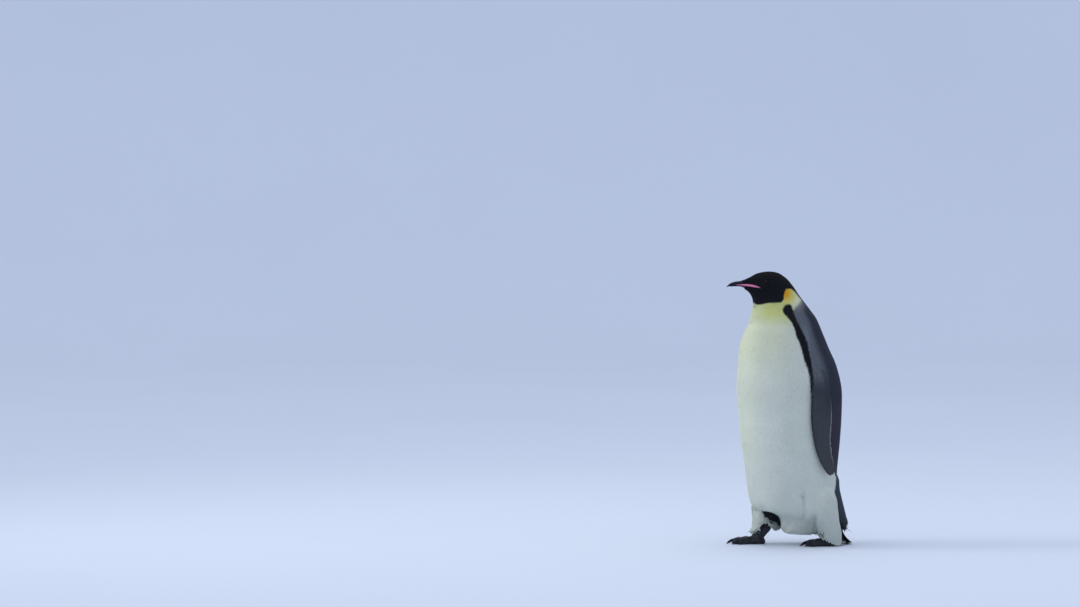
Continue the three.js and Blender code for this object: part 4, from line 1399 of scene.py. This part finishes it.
class PENGUIN_OT_bill(bpy.types.Operator):
    """Both halves of the bill and the coloured plates on its sides"""

    bl_idname = "penguin.bill"
    bl_label = "Bill"

    def execute(self, context):
        bare = context.scene.penguin_bare
        horn = horn_finish("bill_horn", tuple(bare.horn), (500, 60, 500))
        for name, rows, slant in (("bill_upper", BILL_UPPER, 1), ("bill_lower", BILL_LOWER, -1)):
            stations = middle_stations(rows)
            grid = rings(stations, spread(rows, 90), turns(56), -0.15 * MM)
            part = tube(self.grooved(grid, slant))
            obj = add_piece(name + "_horn", triangle_mesh(name, *part), horn)
            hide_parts(name)
        pink = plate_finish(tuple(bare.plate))
        for word, side in SIDES.items():
            part = on_side(self.plate(), side)
            obj = add_piece(f"plate_{word}", triangle_mesh(f"plate_{word}", *part), pink)
            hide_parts(f"bill_plate_{word}")
        return {"FINISHED"}

    def grooved(self, grid, slant):
        """A shallow groove runs along each side of the bill, deepest in its middle third."""
        rows, cols = grid.shape[:2]
        middle = grid.mean(1, keepdims=True)
        line = 1.95 if slant > 0 else 1.2
        left, right = (np.exp(-(((turns(cols) - at) / 0.16) ** 2)) for at in (line, 2 * np.pi - line))
        depth = left + right
        along = np.sin(np.linspace(0, np.pi, rows)) ** 0.6
        return grid - (grid - middle) * (0.075 * depth[None, :] * along[:, None])[:, :, None]

    def plate(self):
        """A strip with a rounded face, laid on the side of the head and bill: its points are pushed
        sideways onto the forms, then given the swell 1 - v^4, which falls to nothing at the rim."""
        u, v = spread(PLATE, 80), np.linspace(-1, 1, 17)
        line = curve_through(np.array(PLATE, float) * MM, u)
        y = np.repeat(line[:, :1], len(v), 1)
        z = line[:, 1:2] + line[:, 2:3] * v
        x = self.side_reach(y.ravel(), z.ravel()).reshape(y.shape)
        taper = np.clip(np.minimum(u, len(PLATE) - 1 - u) / 1.2, 0, 1)[:, None] ** 0.5
        swell = (1 - v**4) * taper * 1.25 * MM
        outer = np.stack([x + swell - 0.35 * MM, y, z], -1)
        inner = np.stack([x - 2.0 * MM, y, z], -1)[:, ::-1]
        return tube(np.concatenate([outer, inner[:, 1:-1]], 1))

    def side_reach(self, y, z):
        """How far out to the side the head and bill reach at (y, z): the widest of their cuts there, each
        the mean of its four nearest points."""
        best = np.zeros(len(y))
        for rows, last, grow in ((BODY, 8.5, -1.0), (BILL_LOWER, 4.8, 0.0), (BILL_UPPER, 5.8, 0.0)):
            t, turn = np.linspace(0.02, last, 220), np.linspace(0.02, np.pi - 0.02, 90)
            flat = rings(middle_stations(rows), t, turn, grow * MM).reshape(-1, 3)
            for part in np.array_split(np.arange(len(y)), 20):
                off = (flat[None, :, 1] - y[part, None]) ** 2 + (flat[None, :, 2] - z[part, None]) ** 2
                near = np.argsort(off, axis=1)[:, :4]
                weight = 1 / (np.take_along_axis(off, near, 1) + 1e-8)
                reach = (flat[near, 0] * weight).sum(1) / weight.sum(1)
                reach[off.min(1) > (2.2 * MM) ** 2] = 0
                best[part] = np.maximum(best[part], reach)
        return best


class PENGUIN_OT_eyes(bpy.types.Operator):
    """Both eyes"""

    bl_idname = "penguin.eyes"
    bl_label = "Eyes"

    def execute(self, context):
        wet = eye_finish(context.scene.penguin_bare)
        for word, side in SIDES.items():
            part = on_side(self.ball(), side)
            obj = add_piece(f"eyeball_{word}", triangle_mesh(f"eyeball_{word}", *part), wet)
            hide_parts(f"eye_{word}")
        return {"FINISHED"}

    def ball(self):
        """A sphere whose axis is +X, with the swell 1 + 0.05 exp(-(a / 0.5)^2) of the cornea round it."""
        a, b = np.linspace(0, np.pi, 34)[:, None], turns(48)
        bulge = 1 + 0.05 * np.exp(-((a / 0.5) ** 2))
        x, y, z = np.cos(a) * bulge + 0 * b, np.sin(a) * bulge * np.cos(b), np.sin(a) * bulge * np.sin(b)
        return tube((np.stack([x, y, z], -1) * EYE_RADIUS + EYE_CENTRE) * MM)


class PENGUIN_OT_claws(bpy.types.Operator):
    """Claws of all the toes"""

    bl_idname = "penguin.claws"
    bl_label = "Claws"

    def execute(self, context):
        horn = horn_finish("claw_horn", tuple(context.scene.penguin_bare.horn), (400, 70, 400), 0.38)
        for word in SIDES:
            for toe, form in self.forms():
                node = f"{toe}_claw_{word}"
                obj = add_piece(node + "_horn", triangle_mesh(node, *place_foot(form, word)), horn)
                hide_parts(node)
        return {"FINISHED"}

    def forms(self):
        """Each toe's name and its claw in the foot's frame; a claw starts inside the end of its toe."""
        rows = [(0, 14, 14, 0)] + [(s + 0.02, *rest) for s, *rest in CLAW_SHAPE]
        for toe, (angle, length) in TOES.items():
            start, end = 0.86 * length, length + CLAW_LENGTH - 5
            line = toe_place(angle, length)
            place = lambda share: line((start + share * (end - start)) / length)
            yield toe, foot_form(rows, place, angle, 20, 36)
        yield "hind", foot_form(HIND_CLAW_SHAPE, hind_place, HIND_ANGLE, 12, 20)


class PENGUIN_OT_tail(bpy.types.Operator):
    """The stiff tail feathers, whose tips rest on the floor"""

    bl_idname = "penguin.tail"
    bl_label = "Tail"

    def execute(self, context):
        look = context.scene.penguin_plumage
        rng = np.random.default_rng(look.seed + 3)
        count = 40
        s = curve_through(middle_stations(TAIL), np.linspace(0.6, len(TAIL) - 1, count))
        parts, tones = [], []
        dark = np.array(look.deep_slate)
        share = np.linspace(0, 1, count)
        for layer, number in enumerate((9, 8, 9, 8)):
            depth = 0.9 - 0.26 * layer
            middle = s[:, 0:3] * depth + s[:, 3:6] * (1 - depth)
            for k in np.linspace(-1, 1, number):
                reach = (1 - 0.035 * layer) * (1 - 0.13 * k * k) * (1 + rng.normal(0, 0.012))
                t = np.clip(share * reach, 0, 1) * (count - 1)
                line = np.stack([np.interp(t, np.arange(count), column) for column in middle.T], -1)
                line[:, 0] += k * np.interp(share, [0, 0.5, 0.8, 1], [14, 34, 40, 41]) * MM
                width = np.interp(share, [0, 0.15, 0.7, 0.93, 1], [2.5, 5.2, 5.6, 3.4, 0.0]) * MM
                parts.append(self.blade(line, width))
                tones.append(np.tile(dark * (1 + rng.normal(0, 0.08)), (len(parts[-1][0]), 1)))
        points, triangles = joined(*parts)
        points[:, 2] = np.maximum(points[:, 2], 0.25 * MM)
        mesh = triangle_mesh("tail_feathers", points, triangles)
        mesh.set_sharp_from_angle(angle=math.radians(50))
        write_tone(mesh, np.concatenate(tones))
        obj = add_piece("tail_feathers", mesh, plumage_finish("quill", 0.5, 0.0))
        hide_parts("tail")
        return {"FINISHED"}

    def blade(self, line, half):
        """A stiff feather: along its line, a shallow roof with a raised shaft, closed underneath. The rows
        give its cut as shares of its half width, and of the shaft's height."""
        along = unit(np.gradient(line, axis=0))
        side = along_surface(np.tile([1.0, 0.0, 0.0], (len(line), 1)), along)
        out = np.cross(along, side)
        out *= np.sign(out[:, 1:2] + 0.3 * out[:, 2:3] + 1e-9)
        cut = [
            (-1, -0.10, 0), (-0.5, 0.02, 0), (-0.1, 0.06, 0), (0, 0.06, 0.5), (0.1, 0.06, 0), (0.5, 0.02, 0),
            (1, -0.10, 0), (0.4, -0.12, -0.25), (-0.4, -0.12, -0.25),
        ]
        shaft = np.minimum(half, 2 * MM)
        ring = [
            line + side * (half * a)[:, None] + out * (half * b + shaft * c * 0.5)[:, None] for a, b, c in cut
        ]
        grid = np.stack(ring, 1)
        ends = (grid[:1].mean(1, keepdims=True), line[-1:, None])
        first, last = (np.tile(end, (1, len(cut), 1)) for end in ends)
        return tube(np.concatenate([first, grid[:-1], last]))


class PENGUIN_OT_stage(bpy.types.Operator):
    """Floor, light and camera"""

    bl_idname = "penguin.stage"
    bl_label = "Stage"

    def execute(self, context):
        stage, scene = context.scene.penguin_stage, context.scene
        material = floor_finish(tuple(stage.floor))
        add_object("floor", triangle_mesh("floor", *self.bowl()), material)
        scene.world = bpy.data.worlds.new("sky")
        scene.world.use_nodes = True
        sky = scene.world.node_tree.nodes["Background"]
        sky.inputs["Color"].default_value = (*stage.floor, 1)
        sky.inputs["Strength"].default_value = stage.sky
        for name, at, colour, share, size, spread in LAMPS:
            lamp = bpy.data.lights.new(name, "AREA")
            lamp.shape, lamp.size, lamp.energy, lamp.color = "DISK", size, stage.key_power * share, colour
            lamp.spread = math.radians(spread)
            self.aimed(name, lamp, Vector(at), Vector(LAMPS_AIM) - Vector(at))
        camera = bpy.data.cameras.new("camera")
        camera.lens, camera.sensor_width, camera.clip_end = stage.lens, 36.0, 200.0
        place, pitch = Vector(CAMERA_AT), CAMERA_PITCH
        flat = Vector((-place.x, -place.y, 0)).normalized()
        right = Vector((flat.y, -flat.x, 0))
        ahead = flat * math.cos(stage.aim) - right * math.sin(stage.aim)
        look = ahead * math.cos(pitch) - Vector((0, 0, math.sin(pitch)))
        scene.camera = self.aimed("camera", camera, place, look)
        scene.view_settings.view_transform = "Standard"
        return {"FINISHED"}

    def aimed(self, name, data, at, look):
        """A lamp or camera that looks along a direction."""
        obj = bpy.data.objects.new(name, data)
        obj.location = at
        obj.rotation_euler = look.to_track_quat("-Z", "Y").to_euler()
        bpy.context.scene.collection.objects.link(obj)
        return obj

    def bowl(self):
        """The floor as a surface of revolution: level, then rising in the sweep radius + sin(a), 1 - cos(a)
        into a high rim, so that no horizon shows from any side."""
        turn = turns(128)
        level = np.linspace(0.5, FLOOR_RADIUS, 24)
        rise = np.linspace(0, 1, 40)[1:] * np.pi / 2 * 0.86
        radius = np.concatenate([level, FLOOR_RADIUS + SWEEP * np.sin(rise)])[:, None]
        height = np.concatenate([0 * level, SWEEP * (1 - np.cos(rise))])[:, None]
        ring = np.stack([radius * np.cos(turn), radius * np.sin(turn), height + 0 * turn], -1)
        rows, cols = ring.shape[:2]
        points = np.concatenate([ring.reshape(-1, 3), np.zeros((1, 3))]) - [0, 0, 0.2 * MM]
        k = np.arange(cols)
        centre = np.stack([k, (k + 1) % cols, np.full(cols, rows * cols)], -1)
        return points, np.concatenate([between_rings(rows, cols), centre])


class PENGUIN_PT_panel(bpy.types.Panel):
    """Sizes, colours and steps of the bird"""

    bl_label = "Penguin"
    bl_idname = "PENGUIN_PT_panel"
    bl_space_type = "VIEW_3D"
    bl_region_type = "UI"
    bl_category = "Penguin"

    def draw(self, context):
        scene = context.scene
        for group in (scene.penguin_plumage, scene.penguin_bare, scene.penguin_stage):
            box = self.layout.box()
            for name in group.__annotations__:
                box.prop(group, name)
        for step in STEPS:
            self.layout.operator(step.bl_idname)


STEPS = (
    PENGUIN_OT_skin,
    PENGUIN_OT_coat,
    PENGUIN_OT_flipper_coat,
    PENGUIN_OT_bill,
    PENGUIN_OT_eyes,
    PENGUIN_OT_claws,
    PENGUIN_OT_tail,
    PENGUIN_OT_stage,
)
GROUPS = (PlumageSettings, BareSettings, StageSettings)


def register():
    for c in (*GROUPS, *STEPS, PENGUIN_PT_panel):
        bpy.utils.register_class(c)
    bpy.types.Scene.penguin_plumage = bpy.props.PointerProperty(type=PlumageSettings)
    bpy.types.Scene.penguin_bare = bpy.props.PointerProperty(type=BareSettings)
    bpy.types.Scene.penguin_stage = bpy.props.PointerProperty(type=StageSettings)


def unregister():
    for name in ("penguin_plumage", "penguin_bare", "penguin_stage"):
        delattr(bpy.types.Scene, name)
    for c in (PENGUIN_PT_panel, *reversed(STEPS), *reversed(GROUPS)):
        bpy.utils.unregister_class(c)


def main():
    register()
    bpy.ops.penguin.skin()
    bpy.ops.penguin.coat()
    bpy.ops.penguin.flipper_coat()
    bpy.ops.penguin.bill()
    bpy.ops.penguin.eyes()
    bpy.ops.penguin.claws()
    bpy.ops.penguin.tail()
    bpy.ops.penguin.stage()
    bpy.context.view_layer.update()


if __name__ == "__main__":
    main()
